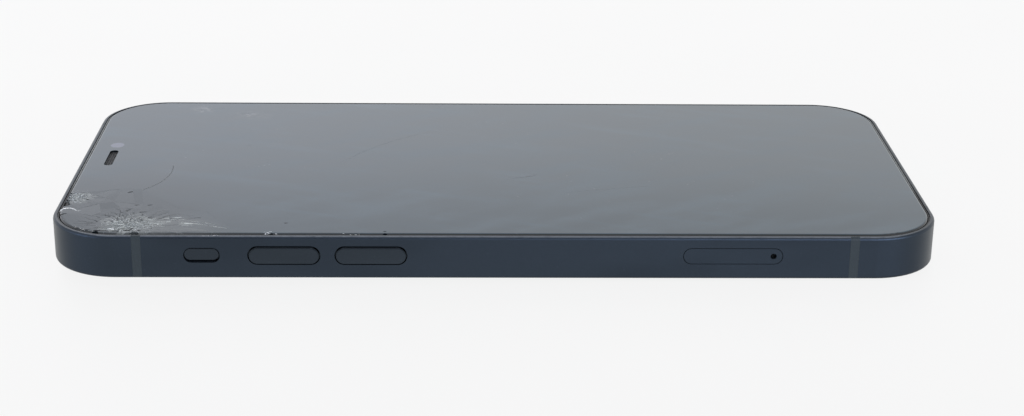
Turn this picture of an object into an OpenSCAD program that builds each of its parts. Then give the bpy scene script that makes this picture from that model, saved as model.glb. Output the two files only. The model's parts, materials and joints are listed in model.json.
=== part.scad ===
// Smartphone with a shattered cover glass, lying on its back.
// X runs along the body: the earpiece end is at -X and the charging socket at +X.
// Y runs across it: the volume buttons and the card tray are on -Y, the side button on +Y.
// Z is up, out of the screen. The origin is under the middle of the body, level with
// the lowest face of the two camera rings.

/* [Body] */
// Length of the body, end to end
body_l = 146.7; // [125:0.1:176]
// Width of the body
body_w = 71.5; // [62:0.1:86]
// Thickness, from the back glass to the cover glass
body_t = 7.4; // [6.6:0.1:9]
// Corner radius in plan
corner_r = 11.5; // [9:0.1:13]
// Rounding along the band's outer edges
edge_r = 0.5; // [0.1:0.05:0.55]
// Width of the metal lip around each glass
lip_w = 0.7; // [0.6:0.05:1.5]
// Thickness of the band's wall beside the inner cavity
wall_t = 2.4; // [2.2:0.1:3]

/* [Glass and display] */
// Thickness of the cover glass
cover_glass_t = 0.65; // [0.5:0.05:0.8]
// How far the cover glass stands above the band
glass_proud = 0.12; // [0:0.02:0.3]
// Rounding along the edge of the cover glass
glass_edge_r = 0.5; // [0.1:0.05:0.55]
// Width of the soft rim between the band and the cover glass
rim_w = 0.25; // [0.2:0.05:0.6]
// Width of the shelf that the rim keeps under the cover glass
rim_shelf_w = 2; // [1:0.1:2.2]
// Thickness of the display panel
panel_t = 0.55; // [0.45:0.05:0.7]
// Thickness of the plate behind the display panel
panel_plate_t = 0.15; // [0.1:0.05:0.3]
// Thickness of the back glass
back_glass_t = 0.75; // [0.5:0.05:0.9]
// Thickness of the glue film under the back glass
back_glue_t = 0.1; // [0.05:0.05:0.2]
// Thickness of the metal deck that carries the parts
deck_t = 0.7; // [0.5:0.05:0.9]

/* [Fracture] */
// Distance of the point of impact from the earpiece end
impact_end = 12.9; // [10:0.1:16]
// Distance of the point of impact from the button side
impact_side = 4.9; // [4:0.1:8]
// Reach of the broken zone along the button side
reach_along_side = 17.5; // [12:0.5:26]
// Reach of the broken zone towards the earpiece end
reach_to_end = 18.5; // [12:0.5:24]
// Reach of the broken zone across the corner
reach_across = 9; // [6:0.5:12]
// Number of cracks that spread from the impact
crack_rays = 17; // [9:1:20]
// Length of the single long crack beyond the broken zone
long_crack_l = 14.6; // [6:0.1:20]
// Radius of the long crack's bend
long_crack_r = 15.4; // [12:0.1:40]
// Width of the open cracks
crack_w = 0.12; // [0.05:0.01:0.2]
// Seed of the fracture pattern
fracture_seed = 11; // [1:1:99]

/* [Buttons] */
// Distance of the first volume button's centre from the earpiece end
volume_up_pos = 38.9; // [36:0.1:44]
// Distance between the centres of the two volume buttons
volume_pitch = 14.05; // [13.9:0.05:17]
// Length of each volume button's opening
volume_opening_l = 11.8; // [9:0.1:12]
// Distance of the side button's centre from the earpiece end
side_button_pos = 45.5; // [40:0.1:55]
// Length of the side button's opening
side_opening_l = 18.2; // [14:0.1:22]
// Gap around each button in its opening
button_gap = 0.25; // [0.1:0.05:0.3]
// How far the buttons stand out of the band
button_proud = 0.3; // [0.1:0.05:0.5]
// How far a button travels when it is pressed
button_travel = 0.25; // [0.15:0.05:0.3]
// Thickness of the band's skin around each button
skin_t = 1.0; // [0.8:0.1:1.2]
// Thickness of the wings that keep a button in
wing_t = 0.55; // [0.4:0.05:0.7]
// How far each wing reaches past the opening's end
wing_l = 0.7; // [0.5:0.1:1]

/* [Silent switch] */
// Distance of the silent switch's centre from the earpiece end
switch_pos = 25.65; // [22:0.1:28]
// Length of the switch's opening
switch_opening_l = 5.9; // [5:0.1:7]
// Height of the switch's opening
switch_opening_h = 2.55; // [2.2:0.05:2.9]
// How far the switch slides
switch_travel = 0.5; // [0.3:0.05:0.8]

/* [Card tray] */
// Distance of the tray's centre from the socket end
tray_pos = 34.95; // [32:0.1:40]
// Length of the tray's opening
tray_opening_l = 16.3; // [15.5:0.1:18]
// Height of the tray's opening
tray_opening_h = 2.8; // [2.4:0.05:3]
// Gap around the tray's face
tray_gap = 0.1; // [0.05:0.01:0.2]
// Length of the tray, into the body
tray_depth = 21.5; // [20:0.5:26]
// Thickness of the tray's plate
tray_plate_t = 1.0; // [0.8:0.05:1.2]
// Length of the card's window
card_l = 12.5; // [12.3:0.1:13]
// Width of the card's window
card_w = 9.0; // [8.9:0.1:9.5]
// Radius of the eject hole
eject_hole_r = 0.5; // [0.4:0.05:0.6]

/* [Cameras] */
// Height of the camera island above the back glass
island_h = 0.9; // [0.5:0.1:1.5]
// Height of the lens rings above the island
ring_h = 0.6; // [0.3:0.1:1]
// Length of the camera island
island_l = 29; // [26:1:34]
// Width of the camera island
island_w = 22; // [18:1:24]
// Corner radius of the camera island
island_r = 6; // [4:0.5:8]
// Distance of the island from the earpiece end
island_end = 7.0; // [6:0.5:10]
// Distance of the island from the side button's side
island_side = 6.0; // [5:0.5:10]
// Outer radius of each lens ring
lens_ring_r = 5.6; // [4:0.1:6]
// Radius of the flash window
flash_r = 2.2; // [1.5:0.1:2.5]

/* [Socket end] */
// Width of the charging socket
socket_w = 9.0; // [8:0.1:10]
// Height of the charging socket
socket_h = 2.9; // [2.4:0.1:3.2]
// Depth of the charging socket
socket_depth = 7.2; // [6:0.1:8]
// Distance of each end screw from the middle
end_screw_pos = 7.6; // [7.2:0.1:9]
// Radius of the end screws' heads
end_screw_r = 0.85; // [0.7:0.05:1]
// Radius of the sound holes
sound_hole_r = 0.65; // [0.5:0.05:0.8]
// Spacing of the sound holes
sound_hole_pitch = 2.2; // [1.9:0.1:2.3]
// Number of sound holes on the loudspeaker's side
speaker_holes = 6; // [3:1:6]
// Number of sound holes on the microphone's side
microphone_holes = 4; // [2:1:4]

/* [Earpiece and sensors] */
// Distance of the earpiece slot from the earpiece end
slot_end = 5.1; // [4.5:0.1:6]
// Offset of the earpiece slot from the middle
slot_offset = 2.2; // [0:0.1:3]
// Length of the earpiece slot
slot_l = 8.1; // [6:0.1:10]
// Width of the earpiece slot
slot_w = 1.5; // [1:0.1:2]
// Offset of the front camera from the middle
front_camera_offset = 9.1; // [8.5:0.1:12]
// Radius of the front camera's window
front_camera_r = 1.45; // [1:0.05:1.8]
// Width of the display's notch across the body
notch_w = 36; // [32:1:42]
// Depth of the display's notch along the body
notch_l = 6.6; // [6:0.1:8]

/* [Inside] */
// Running clearance between pieces that lie beside each other
side_clear = 0.1; // [0.05:0.05:0.2]
// Width of the logic board's long arm
board_w = 21.5; // [18:0.5:24]
// Thickness of the logic board
board_t = 0.8; // [0.6:0.1:1]
// Space kept between the battery and the display's plate
battery_swell = 0.7; // [0.4:0.1:1]
// Length of the bottom modules' zone
bottom_zone_l = 21; // [19:0.5:24]
// Metal left between the charging coil's recess and the body's sides
coil_margin = 6; // [4:0.5:10]
// Number of magnets around the charging coil
magnet_count = 16; // [8:2:18]
// Width of the magnets
magnet_w = 2.6; // [2:0.1:3]
// Number of turns in the charging coil
coil_turns = 7; // [4:1:9]

/* [Hidden] */

$fn = 96;
cut = 1;           // how far a cutter runs past the face that it cuts
seam = 0.02;       // gap between curved faces that lie against each other
lift = island_h + ring_h;

// Heights above the back glass
glue_z = back_glass_t;
deck_z = glue_z + back_glue_t;
floor_z = deck_z + deck_t;
ledge_drop = 0.1;  // the rim's foot reaches this far below the display's plate
glass_z = body_t - cover_glass_t;
panel_z = glass_z - panel_t;
plate_z = panel_z - panel_plate_t;
ledge_z = plate_z - ledge_drop;
band_top = body_t - glass_proud;
cavity_h = plate_z - floor_z;
side_shift = 0.25; // the side openings lie this far above the middle between deck and ledge
side_z = (floor_z + ledge_z) / 2 + side_shift;

// Distances in from the body's outer face
glass_in = lip_w + side_clear / 2 + rim_w;
panel_in = glass_in + rim_shelf_w;

// Inner cavity
cavity_x = body_l / 2 - wall_t;
cavity_y = body_w / 2 - wall_t;

// Openings for the buttons, kept clear of the deck and of the display's ledge
side_margin = 0.575;
button_opening_h = ledge_z - floor_z - 2 * side_margin;
button_h = button_opening_h - 2 * button_gap;
recess_clear = 0.3;
stem_r = 0.9;
dome_h = 0.25;
dome_play = 0.05;
flex_t = 0.15;
bracket_t = 0.3;
stem_reach = wall_t - dome_h - button_travel - dome_play;

volume_up_x = -body_l / 2 + volume_up_pos;
volume_down_x = volume_up_x + volume_pitch;
side_button_x = -body_l / 2 + side_button_pos;
volume_mid_x = (volume_up_x + volume_down_x) / 2;
volume_bracket_l = volume_pitch + volume_opening_l + 2 * wing_l + 3;
side_bracket_l = side_opening_l + 2 * wing_l + 3;
switch_x = -body_l / 2 + switch_pos;
tray_x = body_l / 2 - tray_pos;

// Silent switch
switch_h = switch_opening_h - switch_travel - 2 * button_gap / 2.5;
switch_l = switch_opening_l - 2 * button_gap * 0.8;
switch_rest = switch_travel / 2;
switch_wing_h = switch_h + 0.7;
switch_recess_h = switch_wing_h + switch_travel + 2 * side_clear;
switch_unit_l = switch_opening_l + 2;
switch_unit_w = 2.2;
peg_r = 0.45;

// Card tray
tray_face_t = wall_t - 0.2;
tray_plate_l = card_l + 0.9;
tray_face_l = tray_opening_l - 2 * tray_gap;
tray_face_h = tray_opening_h - 2 * tray_gap;
tray_left = tray_x - tray_face_l / 2 + 0.5;
eject_x = tray_x + tray_face_l / 2 - 1.45;
card_x = tray_left + (tray_plate_l - card_l) / 2;
card_y = -body_w / 2 + tray_face_t + 4.5;
card_corner = 1.8;
card_floor = 0.25;
card_t = 0.67;
seal_w = 0.5;
seal_in = 1.2;
rod_w = 0.9;
reader_wall = 0.4;
reader_l = tray_opening_l + 1.8;
reader_end = -cavity_y + tray_depth + 3.4;
reader_slot_h = tray_plate_t + 0.3;
lever_w = 1.2;
lever_gap = 0.3;
lever_y = -body_w / 2 + tray_depth + lever_gap + lever_w / 2;
lever_pivot_x = (tray_left + 2 + eject_x) / 2;
pivot_r = 0.4;

// Camera island
island_x = -body_l / 2 + island_end + island_l / 2;
island_y = body_w / 2 - island_side - island_w / 2;
lens_pitch = island_l - 2 * lens_ring_r - 3.6;
lens_y = island_y + 2.6;
lens_x = [island_x - lens_pitch / 2, island_x + lens_pitch / 2];
window_r = lens_ring_r - 0.9;
window_t = 0.5;
window_lip = 0.45;
window_z = 0.1 - island_h - ring_h;
camera_size = 2 * lens_ring_r + 0.8;
camera_barrel_r = window_r - 0.4;
flash_y = island_y - island_w / 2 + flash_r + 1.8;
camera_zone_end = island_x + island_l / 2 + 0.6;

// Inner layout along the body
board_side = 2.9;   // room for the button brackets beside the board
board_y0 = -cavity_y + board_side;
board_y1 = board_y0 + board_w;
bottom_x = cavity_x - bottom_zone_l;
reader_x0 = tray_x - reader_l / 2;
board_x0 = -cavity_x + 8.4;
board_x1 = reader_x0 - 0.8;
board_arm_x1 = camera_zone_end - 1;
board_arm_y1 = island_y - island_w / 2 - 1.2;
board_z = floor_z + 0.8;
connector_h = 0.45;
board_screws = [
    [board_x0 + 1.6, board_y0 + 1.6], [board_x1 - 1.6, board_y0 + 1.6],
    [board_x1 - 1.6, board_y1 - 1.6], [board_x0 + 1.6, board_arm_y1 - 1.6]
];
battery_x0 = camera_zone_end + 1;
battery_x1 = bottom_x - 1;
battery_y0 = max(board_y1, reader_end) + 0.8;
battery_y1 = cavity_y - 1.0;
battery_t = cavity_h - battery_swell;
shield_top = plate_z - 0.95;
display_flex_x = board_arm_x1 + 6;
battery_flex_x = battery_x0 + 12;

// Charging coil
coil_recess_r = body_w / 2 - coil_margin;
coil_x = (battery_x0 + battery_x1) / 2 + 4;
magnet_r1 = coil_recess_r - 0.15;
magnet_r0 = magnet_r1 - magnet_w;
coil_r1 = magnet_r0 - 1.2;
coil_r0 = coil_r1 * 0.46;
coil_shield_t = 0.25;
coil_t = floor_z - deck_z - coil_shield_t;
coil_steps = 30;    // straight stretches in each turn
coil_strip = (coil_r1 - coil_r0) / coil_turns * 0.62;

// Socket end
socket_wall = 0.3;
speaker_y0 = end_screw_pos + 3.6;
haptic_gap = 0.6;

// Plastic strips in the band
antenna_w = 1.5;
antenna_in = 1.2;
antenna_side_x = body_l / 2 - 15.15;
antenna_end_y = body_w / 2 - corner_r - 2.5;

// Sensors beside the earpiece
slot_x = -body_l / 2 + slot_end;
notch_x1 = -body_l / 2 + panel_in + notch_l;
infrared_y = -notch_w / 2 + 5;
projector_y = notch_w / 2 - 3.6;
sensor_r = 1.3;
sensor_l = 4;

// Impact point and fracture pattern
impact = [-body_l / 2 + impact_end, -body_w / 2 + impact_side];
ring_shares = [0, 0.18, 0.42, 0.7, 1];
ring_count = len(ring_shares) - 1;
end_gap = impact_end - glass_in;    // from the impact to the glass's edges
side_gap = impact_side - glass_in;
past_edge = 3.5;
end_reach_angle = 112;              // direction of the reach towards the end
corner_rays = [7, 11];              // the whole shard in the corner spans these cracks
// Chips in the glass's edge as [distance, radius]: from the button side, and from the earpiece end
end_chips = [[14.4, 1.2], [16.0, 0.95], [17.4, 0.75], [18.5, 0.6], [19.4, 0.55]];
side_chips = [[8.45, 0.6], [14.8, 0.8], [36.9, 0.3], [55.2, 0.35]];
ray_jitter = rands(-0.3, 0.3, crack_rays * len(ring_shares) + 1, fracture_seed);
ring_jitter = rands(-0.18, 0.18, crack_rays * len(ring_shares) + 1, fracture_seed + 1);
long_crack_start = impact + reach_to_end * 0.827 * [cos(93.3), sin(93.3)];
long_crack_turn = 7.9;              // how far its end turns past straight across the phone
long_crack_a = long_crack_l / long_crack_r * 180 / PI;

// ---------------------------------------------------------------- helpers

// Rounded rectangle in plan, centred on the origin
module plan(l, w, r) {
    union() {
        square([l, w - 2 * r], center = true);
        square([l - 2 * r, w], center = true);
        for (x = [-1, 1])
            for (y = [-1, 1])
                translate([x * (l / 2 - r), y * (w / 2 - r)])
                    circle(r = r);
    }
}

// The body's outline, moved in by a distance, from one height to another
module inset_block(inset, z0, z1) {
    translate([0, 0, z0])
        linear_extrude(z1 - z0)
            plan(body_l - 2 * inset, body_w - 2 * inset, corner_r - inset);
}

// Half of a plate's section, from its axis out to w, with rounded outer edges
module edge_section(w, h, low_r, high_r) {
    difference() {
        square([w, h]);
        if (low_r > 0)
            translate([w - low_r, low_r])
                difference() {
                    translate([0, -low_r - cut])
                        square([low_r + cut, low_r + cut]);
                    circle(r = low_r);
                }
        if (high_r > 0)
            translate([w - high_r, h - high_r])
                difference() {
                    square([high_r + cut, high_r + cut]);
                    circle(r = high_r);
                }
    }
}

// Plate with a rounded-rectangle plan and rounded upper and lower edges
module soft_plate(l, w, r, z0, z1, low_r, high_r) {
    h = z1 - z0;
    translate([0, 0, z0])
        union() {
            for (a = [0, 180])
                rotate([0, 0, a])
                    translate([-(l / 2 - r), 0, 0])
                        rotate([90, 0, 90])
                            linear_extrude(l - 2 * r)
                                edge_section(w / 2, h, low_r, high_r);
            for (a = [0, 180])
                rotate([0, 0, a])
                    translate([l / 2 - r, w / 2 - r, 0])
                        rotate([90, 0, 0])
                            linear_extrude(w - 2 * r)
                                edge_section(r, h, low_r, high_r);
            for (x = [-1, 1])
                for (y = [-1, 1])
                    translate([x * (l / 2 - r), y * (w / 2 - r), 0])
                        rotate([0, 0, x > 0 ? (y > 0 ? 0 : 270) : (y > 0 ? 90 : 180)])
                            rotate_extrude(angle = 90)
                                edge_section(r, h, low_r, high_r);
        }
}

// A box between two corners
module block(x0, y0, z0, x1, y1, z1) {
    translate([x0, y0, z0])
        cube([x1 - x0, y1 - y0, z1 - z0]);
}

// Stadium outline
module pill(l, h) {
    union() {
        square([l - h, h], center = true);
        for (x = [-1, 1])
            translate([x * (l - h) / 2, 0])
                circle(d = h);
    }
}

// Places its children on a side face: local Z points out of the body
module on_buttons_side(x, z) {
    translate([x, -body_w / 2, z])
        rotate([90, 0, 0])
            children();
}

module on_power_side(x, z) {
    translate([x, body_w / 2, z])
        rotate([90, 0, 180])
            children();
}

// Local Z points out of the socket end, local X runs along Y
module on_socket_end(y, z) {
    translate([body_l / 2, y, z])
        rotate([90, 0, 90])
            children();
}

// Everything sits above the camera rings
module lifted() {
    translate([0, 0, lift])
        children();
}

// ---------------------------------------------------------------- shared shapes

// Room for one push button: its opening, and a wider recess behind the skin
module button_room(opening_l) {
    translate([0, 0, -skin_t - cut])
        linear_extrude(skin_t + 2 * cut)
            pill(opening_l, button_opening_h);
    translate([0, 0, -wall_t - cut])
        linear_extrude(wall_t - skin_t + cut)
            square([opening_l + 2 * wing_l + 2 * recess_clear, button_opening_h], center = true);
}

// One push button: its cap, the wings that keep it in, and the stems that press the domes
module push_button(opening_l, stems) {
    cap_l = opening_l - 2 * button_gap;
    crown = 0.12;
    wing_z = -skin_t - side_clear / 2;
    translate([0, 0, wing_z])
        linear_extrude(button_proud - crown - wing_z)
            pill(cap_l, button_h);
    translate([0, 0, button_proud - crown])
        linear_extrude(crown)
            pill(cap_l - 2 * crown, button_h - 2 * crown);
    translate([0, 0, wing_z - wing_t])
        linear_extrude(wing_t)
            square([opening_l + 2 * wing_l, button_h], center = true);
    for (x = stems)
        translate([x, 0, -stem_reach])
            cylinder(r = stem_r, h = stem_reach + wing_z - wing_t / 2);
}

// Dome switch that a button's stem presses
module dome(x) {
    translate([x, 0, -wall_t])
        cylinder(r1 = 1.5, r2 = 0.8, h = dome_h);
}

module lens_hole(x, r, z0, z1) {
    translate([x, lens_y, z0])
        cylinder(r = r, h = z1 - z0);
}

// A polygon's corners drawn in towards its middle by a distance
function middle(p) = [for (k = [0, 1]) [for (q = p) q[k]] * [for (q = p) 1] / len(p)];
function drawn_in(p, d) = let (m = middle(p)) [for (q = p) m + (q - m) * max(0.3, 1 - d / norm(q - m))];

// Distance from the impact to the glass's edge in a direction, given in degrees
function edge_distance(a) = min(cos(a) < -0.1 ? end_gap / -cos(a) : body_l,
                                sin(a) < -0.1 ? side_gap / -sin(a) : body_l);

// Reach of the broken zone in a direction: past the glass's edge, or short of it
function reach(a) =
    let (edge = edge_distance(a) + past_edge,
         side = (reach_along_side - reach_across) * pow(max(0, cos(a)), 5),
         end = (reach_to_end - reach_across) * pow(max(0, cos(a - end_reach_angle)), 3),
         within = reach_across + side + end)
    edge < within + past_edge + 1.5 ? edge : within;

// Crossing of ray i with ring j, counted from the impact
function crossing(i, j) =
    let (k = i % crack_rays,
         n = k * len(ring_shares) + j,
         a = (k + (j == 0 ? 0 : ray_jitter[n])) * 360 / crack_rays,
         stretch = 1 + (j == ring_count ? 0.25 : 1) * ring_jitter[n])
    impact + reach(a) * ring_shares[j] * stretch * [cos(a), sin(a)];

function shard_outline(i, j) = j == 0
    ? [crossing(i, 0), crossing(i, 1), crossing(i + 1, 1)]
    : [crossing(i, j), crossing(i, j + 1), crossing(i + 1, j + 1), crossing(i + 1, j)];

// The shard in the corner broke off whole, so no cracks cross it beyond the second ring
function in_corner(i, j) = j > 1 && i >= corner_rays[0] && i < corner_rays[1];
corner_outline = concat([for (i = [corner_rays[0]:corner_rays[1]]) crossing(i, 2)],
                        [for (i = [corner_rays[1]:-1:corner_rays[0]]) crossing(i, ring_count)]);

// Height of the cover glass's edge on the button side, at a place along the body
function side_edge_y(x) =
    let (r = corner_r - glass_in,
         along = min(0, x + body_l / 2 - glass_in - r))
    -body_w / 2 + glass_in + r - sqrt(r * r - along * along);

// The cover glass before it broke
module whole_cover_glass() {
    difference() {
        soft_plate(body_l - 2 * glass_in, body_w - 2 * glass_in, corner_r - glass_in,
                   glass_z, body_t, 0, glass_edge_r);
        earpiece_slot(glass_z - cut, body_t + cut, 0);
    }
}

module earpiece_slot(z0, z1, shrink) {
    translate([slot_x, slot_offset, z0])
        rotate([0, 0, 90])
            linear_extrude(z1 - z0)
                pill(slot_l - 2 * shrink, slot_w - 2 * shrink);
}

// A prism through the cover glass
module through_glass() {
    translate([0, 0, glass_z - cut])
        linear_extrude(cover_glass_t + 2 * cut)
            children();
}

module fracture_area() {
    through_glass()
        polygon([for (i = [0:crack_rays - 1]) crossing(i, ring_count)]);
}

// The long crack: a thin arc that leaves the broken zone
module long_crack() {
    start_a = long_crack_turn - long_crack_a;
    centre = long_crack_start - long_crack_r * [cos(start_a), sin(start_a)];
    translate([centre[0], centre[1], glass_z - cut])
        rotate([0, 0, start_a - 4])
            rotate_extrude(angle = long_crack_a + 4)
                translate([long_crack_r, 0])
                    square([crack_w, cover_glass_t + 2 * cut]);
}

// ---------------------------------------------------------------- body

// Slots for the plastic strips: two on each long side, one on each end
module antenna_slots(grow) {
    w = antenna_w + 2 * grow;
    for (x = [-1, 1])
        for (y = [-1, 1])
            translate([x * antenna_side_x, y * (body_w / 2 - antenna_in / 2 + cut / 2), body_t / 2])
                cube([w, antenna_in + cut, body_t + 2 * cut], center = true);
    for (x = [-1, 1])
        translate([x * (body_l / 2 - antenna_in / 2 + cut / 2), -x * antenna_end_y, body_t / 2])
            cube([antenna_in + cut, w, body_t + 2 * cut], center = true);
}

module band_blank() {
    soft_plate(body_l, body_w, corner_r, 0, band_top, edge_r, edge_r);
}

module sound_holes(count, y0, direction, r) {
    for (i = [0:count - 1])
        on_socket_end(y0 + direction * i * sound_hole_pitch, side_z)
            translate([0, 0, -wall_t - cut])
                cylinder(r = r, h = wall_t + 2 * cut);
}

module chassis() {
    color([0.13, 0.18, 0.24])
        lifted()
            difference() {
                band_blank();
                inset_block(lip_w, ledge_z, body_t + cut);
                inset_block(wall_t, floor_z, ledge_z + cut);
                inset_block(lip_w, -cut, deck_z);
                antenna_slots(0);
                // openings on the button side
                for (x = [volume_up_x, volume_down_x])
                    on_buttons_side(x, side_z)
                        button_room(volume_opening_l);
                switch_room();
                on_buttons_side(tray_x, side_z)
                    translate([0, 0, -wall_t - cut])
                        linear_extrude(wall_t + 2 * cut)
                            pill(tray_opening_l, tray_opening_h);
                // opening on the other side
                on_power_side(side_button_x, side_z)
                    button_room(side_opening_l);
                // socket end
                on_socket_end(0, side_z)
                    translate([0, 0, -wall_t - cut])
                        linear_extrude(wall_t + 2 * cut)
                            pill(socket_w, socket_h);
                sound_holes(speaker_holes, speaker_y0, 1, sound_hole_r);
                sound_holes(microphone_holes, -speaker_y0, -1, sound_hole_r);
                for (y = [-1, 1])
                    on_socket_end(y * end_screw_pos, side_z)
                        translate([0, 0, -wall_t - cut])
                            cylinder(r = end_screw_r + seam, h = wall_t + 2 * cut);
                // deck: coil recess and camera windows
                translate([coil_x, 0, deck_z - cut])
                    cylinder(r = coil_recess_r, h = deck_t + 2 * cut);
                camera_cutout(deck_z - cut, floor_z + cut, 0.3);
            }
}

module switch_room() {
    on_buttons_side(switch_x, side_z) {
        translate([0, 0, -skin_t - cut])
            linear_extrude(skin_t + 2 * cut)
                pill(switch_opening_l, switch_opening_h);
        translate([0, 0, -wall_t - cut])
            linear_extrude(wall_t - skin_t + cut)
                square([switch_opening_l + 2 * wing_l + 2 * recess_clear, switch_recess_h], center = true);
    }
}

// Holes for the two cameras and the flash
module camera_cutout(z0, z1, clear) {
    for (x = lens_x)
        block(x - camera_size / 2 - clear, lens_y - camera_size / 2 - clear, z0,
              x + camera_size / 2 + clear, lens_y + camera_size / 2 + clear, z1);
    translate([island_x, flash_y, z0])
        cylinder(r = flash_r + clear, h = z1 - z0);
}

module antenna_bands() {
    color([0.24, 0.29, 0.34])
        lifted()
            difference() {
                intersection() {
                    band_blank();
                    antenna_slots(-0.01);
                }
                inset_block(lip_w, ledge_z - cut, body_t + cut);
                inset_block(lip_w, -cut, deck_z + cut);
            }
}

module back_glass() {
    color([0.10, 0.14, 0.20])
        lifted()
            difference() {
                soft_plate(body_l - 2 * lip_w - side_clear, body_w - 2 * lip_w - side_clear,
                           corner_r - lip_w - side_clear / 2, 0, back_glass_t, 0.25, 0);
                island_block(-cut, back_glass_t + cut, 0);
            }
}

module island_block(z0, z1, shrink) {
    translate([island_x, island_y, z0])
        linear_extrude(z1 - z0)
            plan(island_l - 2 * shrink, island_w - 2 * shrink, island_r - shrink);
}

module back_glue() {
    color([0.08, 0.08, 0.09])
        lifted()
            difference() {
                inset_block(lip_w + 0.6, glue_z, deck_z);
                island_block(-cut, deck_z + cut, 0);
                translate([coil_x, 0, glue_z - cut])
                    cylinder(r = coil_recess_r, h = back_glue_t + 2 * cut);
            }
}

// ---------------------------------------------------------------- cameras

module camera_island() {
    color([0.12, 0.16, 0.22])
        lifted()
            difference() {
                translate([island_x, island_y, 0])
                    soft_plate(island_l - 2 * seam, island_w - 2 * seam, island_r - seam,
                               -island_h, deck_z, 0.25, 0);
                for (x = lens_x)
                    lens_hole(x, lens_ring_r - 0.8, -island_h - cut, deck_z + cut);
                translate([island_x, flash_y, -island_h - cut])
                    cylinder(r = flash_r, h = island_h + deck_z + 2 * cut);
            }
}

// Ring around each lens: a flange on the island and a collar inside it
module lens_rings() {
    collar_r = lens_ring_r - 0.8 - seam;
    color([0.20, 0.25, 0.31])
        lifted()
            for (x = lens_x)
                difference() {
                    union() {
                        translate([x, lens_y, -island_h - ring_h])
                            cylinder(r1 = lens_ring_r - 0.15, r2 = lens_ring_r, h = 0.15);
                        translate([x, lens_y, -island_h - ring_h + 0.15])
                            cylinder(r = lens_ring_r, h = ring_h - 0.15);
                        lens_hole(x, collar_r, -island_h - ring_h / 2, 0);
                    }
                    lens_hole(x, camera_barrel_r + 0.2, -island_h - ring_h - cut, cut);
                    lens_hole(x, window_r - window_lip, -island_h - ring_h - cut, window_z + window_t);
                }
}

module lens_windows() {
    color([0.05, 0.06, 0.08])
        lifted()
            for (x = lens_x)
                lens_hole(x, window_r - window_lip - seam, window_z, window_z + window_t);
}

module flash_window() {
    color([0.92, 0.90, 0.80])
        lifted()
            translate([island_x, flash_y, -island_h + 0.05])
                cylinder(r = flash_r - seam, h = 0.6);
}

module flash_unit() {
    color([0.85, 0.80, 0.45])
        lifted()
            union() {
                translate([island_x, flash_y, -island_h + 0.65])
                    cylinder(r = flash_r - 0.3, h = island_h - 0.65 + floor_z);
                block(island_x - 1.9, flash_y - 1.9, floor_z, island_x + 1.9, flash_y + 1.9, floor_z + 0.6);
            }
}

// Camera module: a square can with a round barrel that reaches down to its window
module camera_module(x) {
    z_window = window_z + window_t;
    difference() {
        union() {
            block(x - camera_size / 2, lens_y - camera_size / 2, deck_z,
                  x + camera_size / 2, lens_y + camera_size / 2, plate_z - bracket_t - 0.4);
            lens_hole(x, camera_barrel_r, z_window, deck_z);
        }
        translate([x, lens_y, z_window - cut])
            cylinder(r1 = camera_barrel_r - 0.3, r2 = camera_barrel_r * 0.3, h = 1.4 + cut);
    }
}

module main_camera() {
    color([0.16, 0.16, 0.17])
        lifted()
            camera_module(lens_x[0]);
}

module wide_camera() {
    color([0.16, 0.16, 0.17])
        lifted()
            camera_module(lens_x[1]);
}

// Steel cover over both camera modules
module camera_bracket() {
    z = plate_z - bracket_t - 0.4;
    foot = 1.2;
    color([0.75, 0.76, 0.78])
        lifted()
            difference() {
                union() {
                    block(lens_x[0] - camera_size / 2, lens_y - camera_size / 2, z,
                          lens_x[1] + camera_size / 2, lens_y + camera_size / 2, z + bracket_t);
                    block(island_x - foot, lens_y - camera_size / 2 - foot * 1.6, z,
                          island_x + foot, lens_y, z + bracket_t);
                }
                for (x = lens_x)
                    translate([x, lens_y, z - cut])
                        cylinder(r = 2.5, h = bracket_t + 2 * cut);
            }
}

// ---------------------------------------------------------------- display

module cover_glass() {
    color([0.07, 0.08, 0.09])
        lifted()
            difference() {
                whole_cover_glass();
                fracture_area();
                long_crack();
                edge_chips();
            }
}

// The corner of the cover glass that broke, as far as its cracks reach
module broken_corner() {
    r = corner_r - glass_in;
    l = impact_end + reach_along_side + 10;
    translate([r - body_l / 2 + glass_in, r - body_w / 2 + glass_in, glass_z])
        union() {
            rotate([0, 0, 180])
                rotate_extrude(angle = 90)
                    edge_section(r, cover_glass_t, 0, glass_edge_r);
            rotate([90, 0, 90])
                mirror([1, 0, 0])
                    linear_extrude(l)
                        edge_section(r, cover_glass_t, 0, glass_edge_r);
            rotate([90, 0, 180])
                linear_extrude(l)
                    edge_section(r, cover_glass_t, 0, glass_edge_r);
            cube([l, l, cover_glass_t]);
        }
}

// Whether a point lies on the flat of the cover glass, away from its rounded edge
function on_flat(p) =
    let (r = corner_r - glass_in,
         flat = r - glass_edge_r - 0.05,
         q = p + [body_l / 2 - glass_in - r, body_w / 2 - glass_in - r])
    q[0] > 0 && q[1] > 0 ? true : norm([min(0, q[0]), min(0, q[1])]) < flat;

function all_on_flat(points) = len([for (p = points) if (!on_flat(p)) p]) == 0;

// The shards that still lie in the broken corner
module glass_shards() {
    color([0.55, 0.60, 0.62])
        lifted()
            for (i = [0:crack_rays - 1])
                for (j = [0:ring_count - 1])
                    if (!in_corner(i, j))
                        shard(drawn_in(shard_outline(i, j), crack_w / 2));
    color([0.55, 0.60, 0.62])
        lifted()
            shard(drawn_in(corner_outline, crack_w / 2));
}

module shard(points) {
    if (all_on_flat(points))
        translate([0, 0, glass_z])
            linear_extrude(cover_glass_t)
                polygon(points);
    else
        difference() {
            intersection() {
                broken_corner();
                through_glass()
                    polygon(points);
            }
            edge_chips();
        }
}

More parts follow.
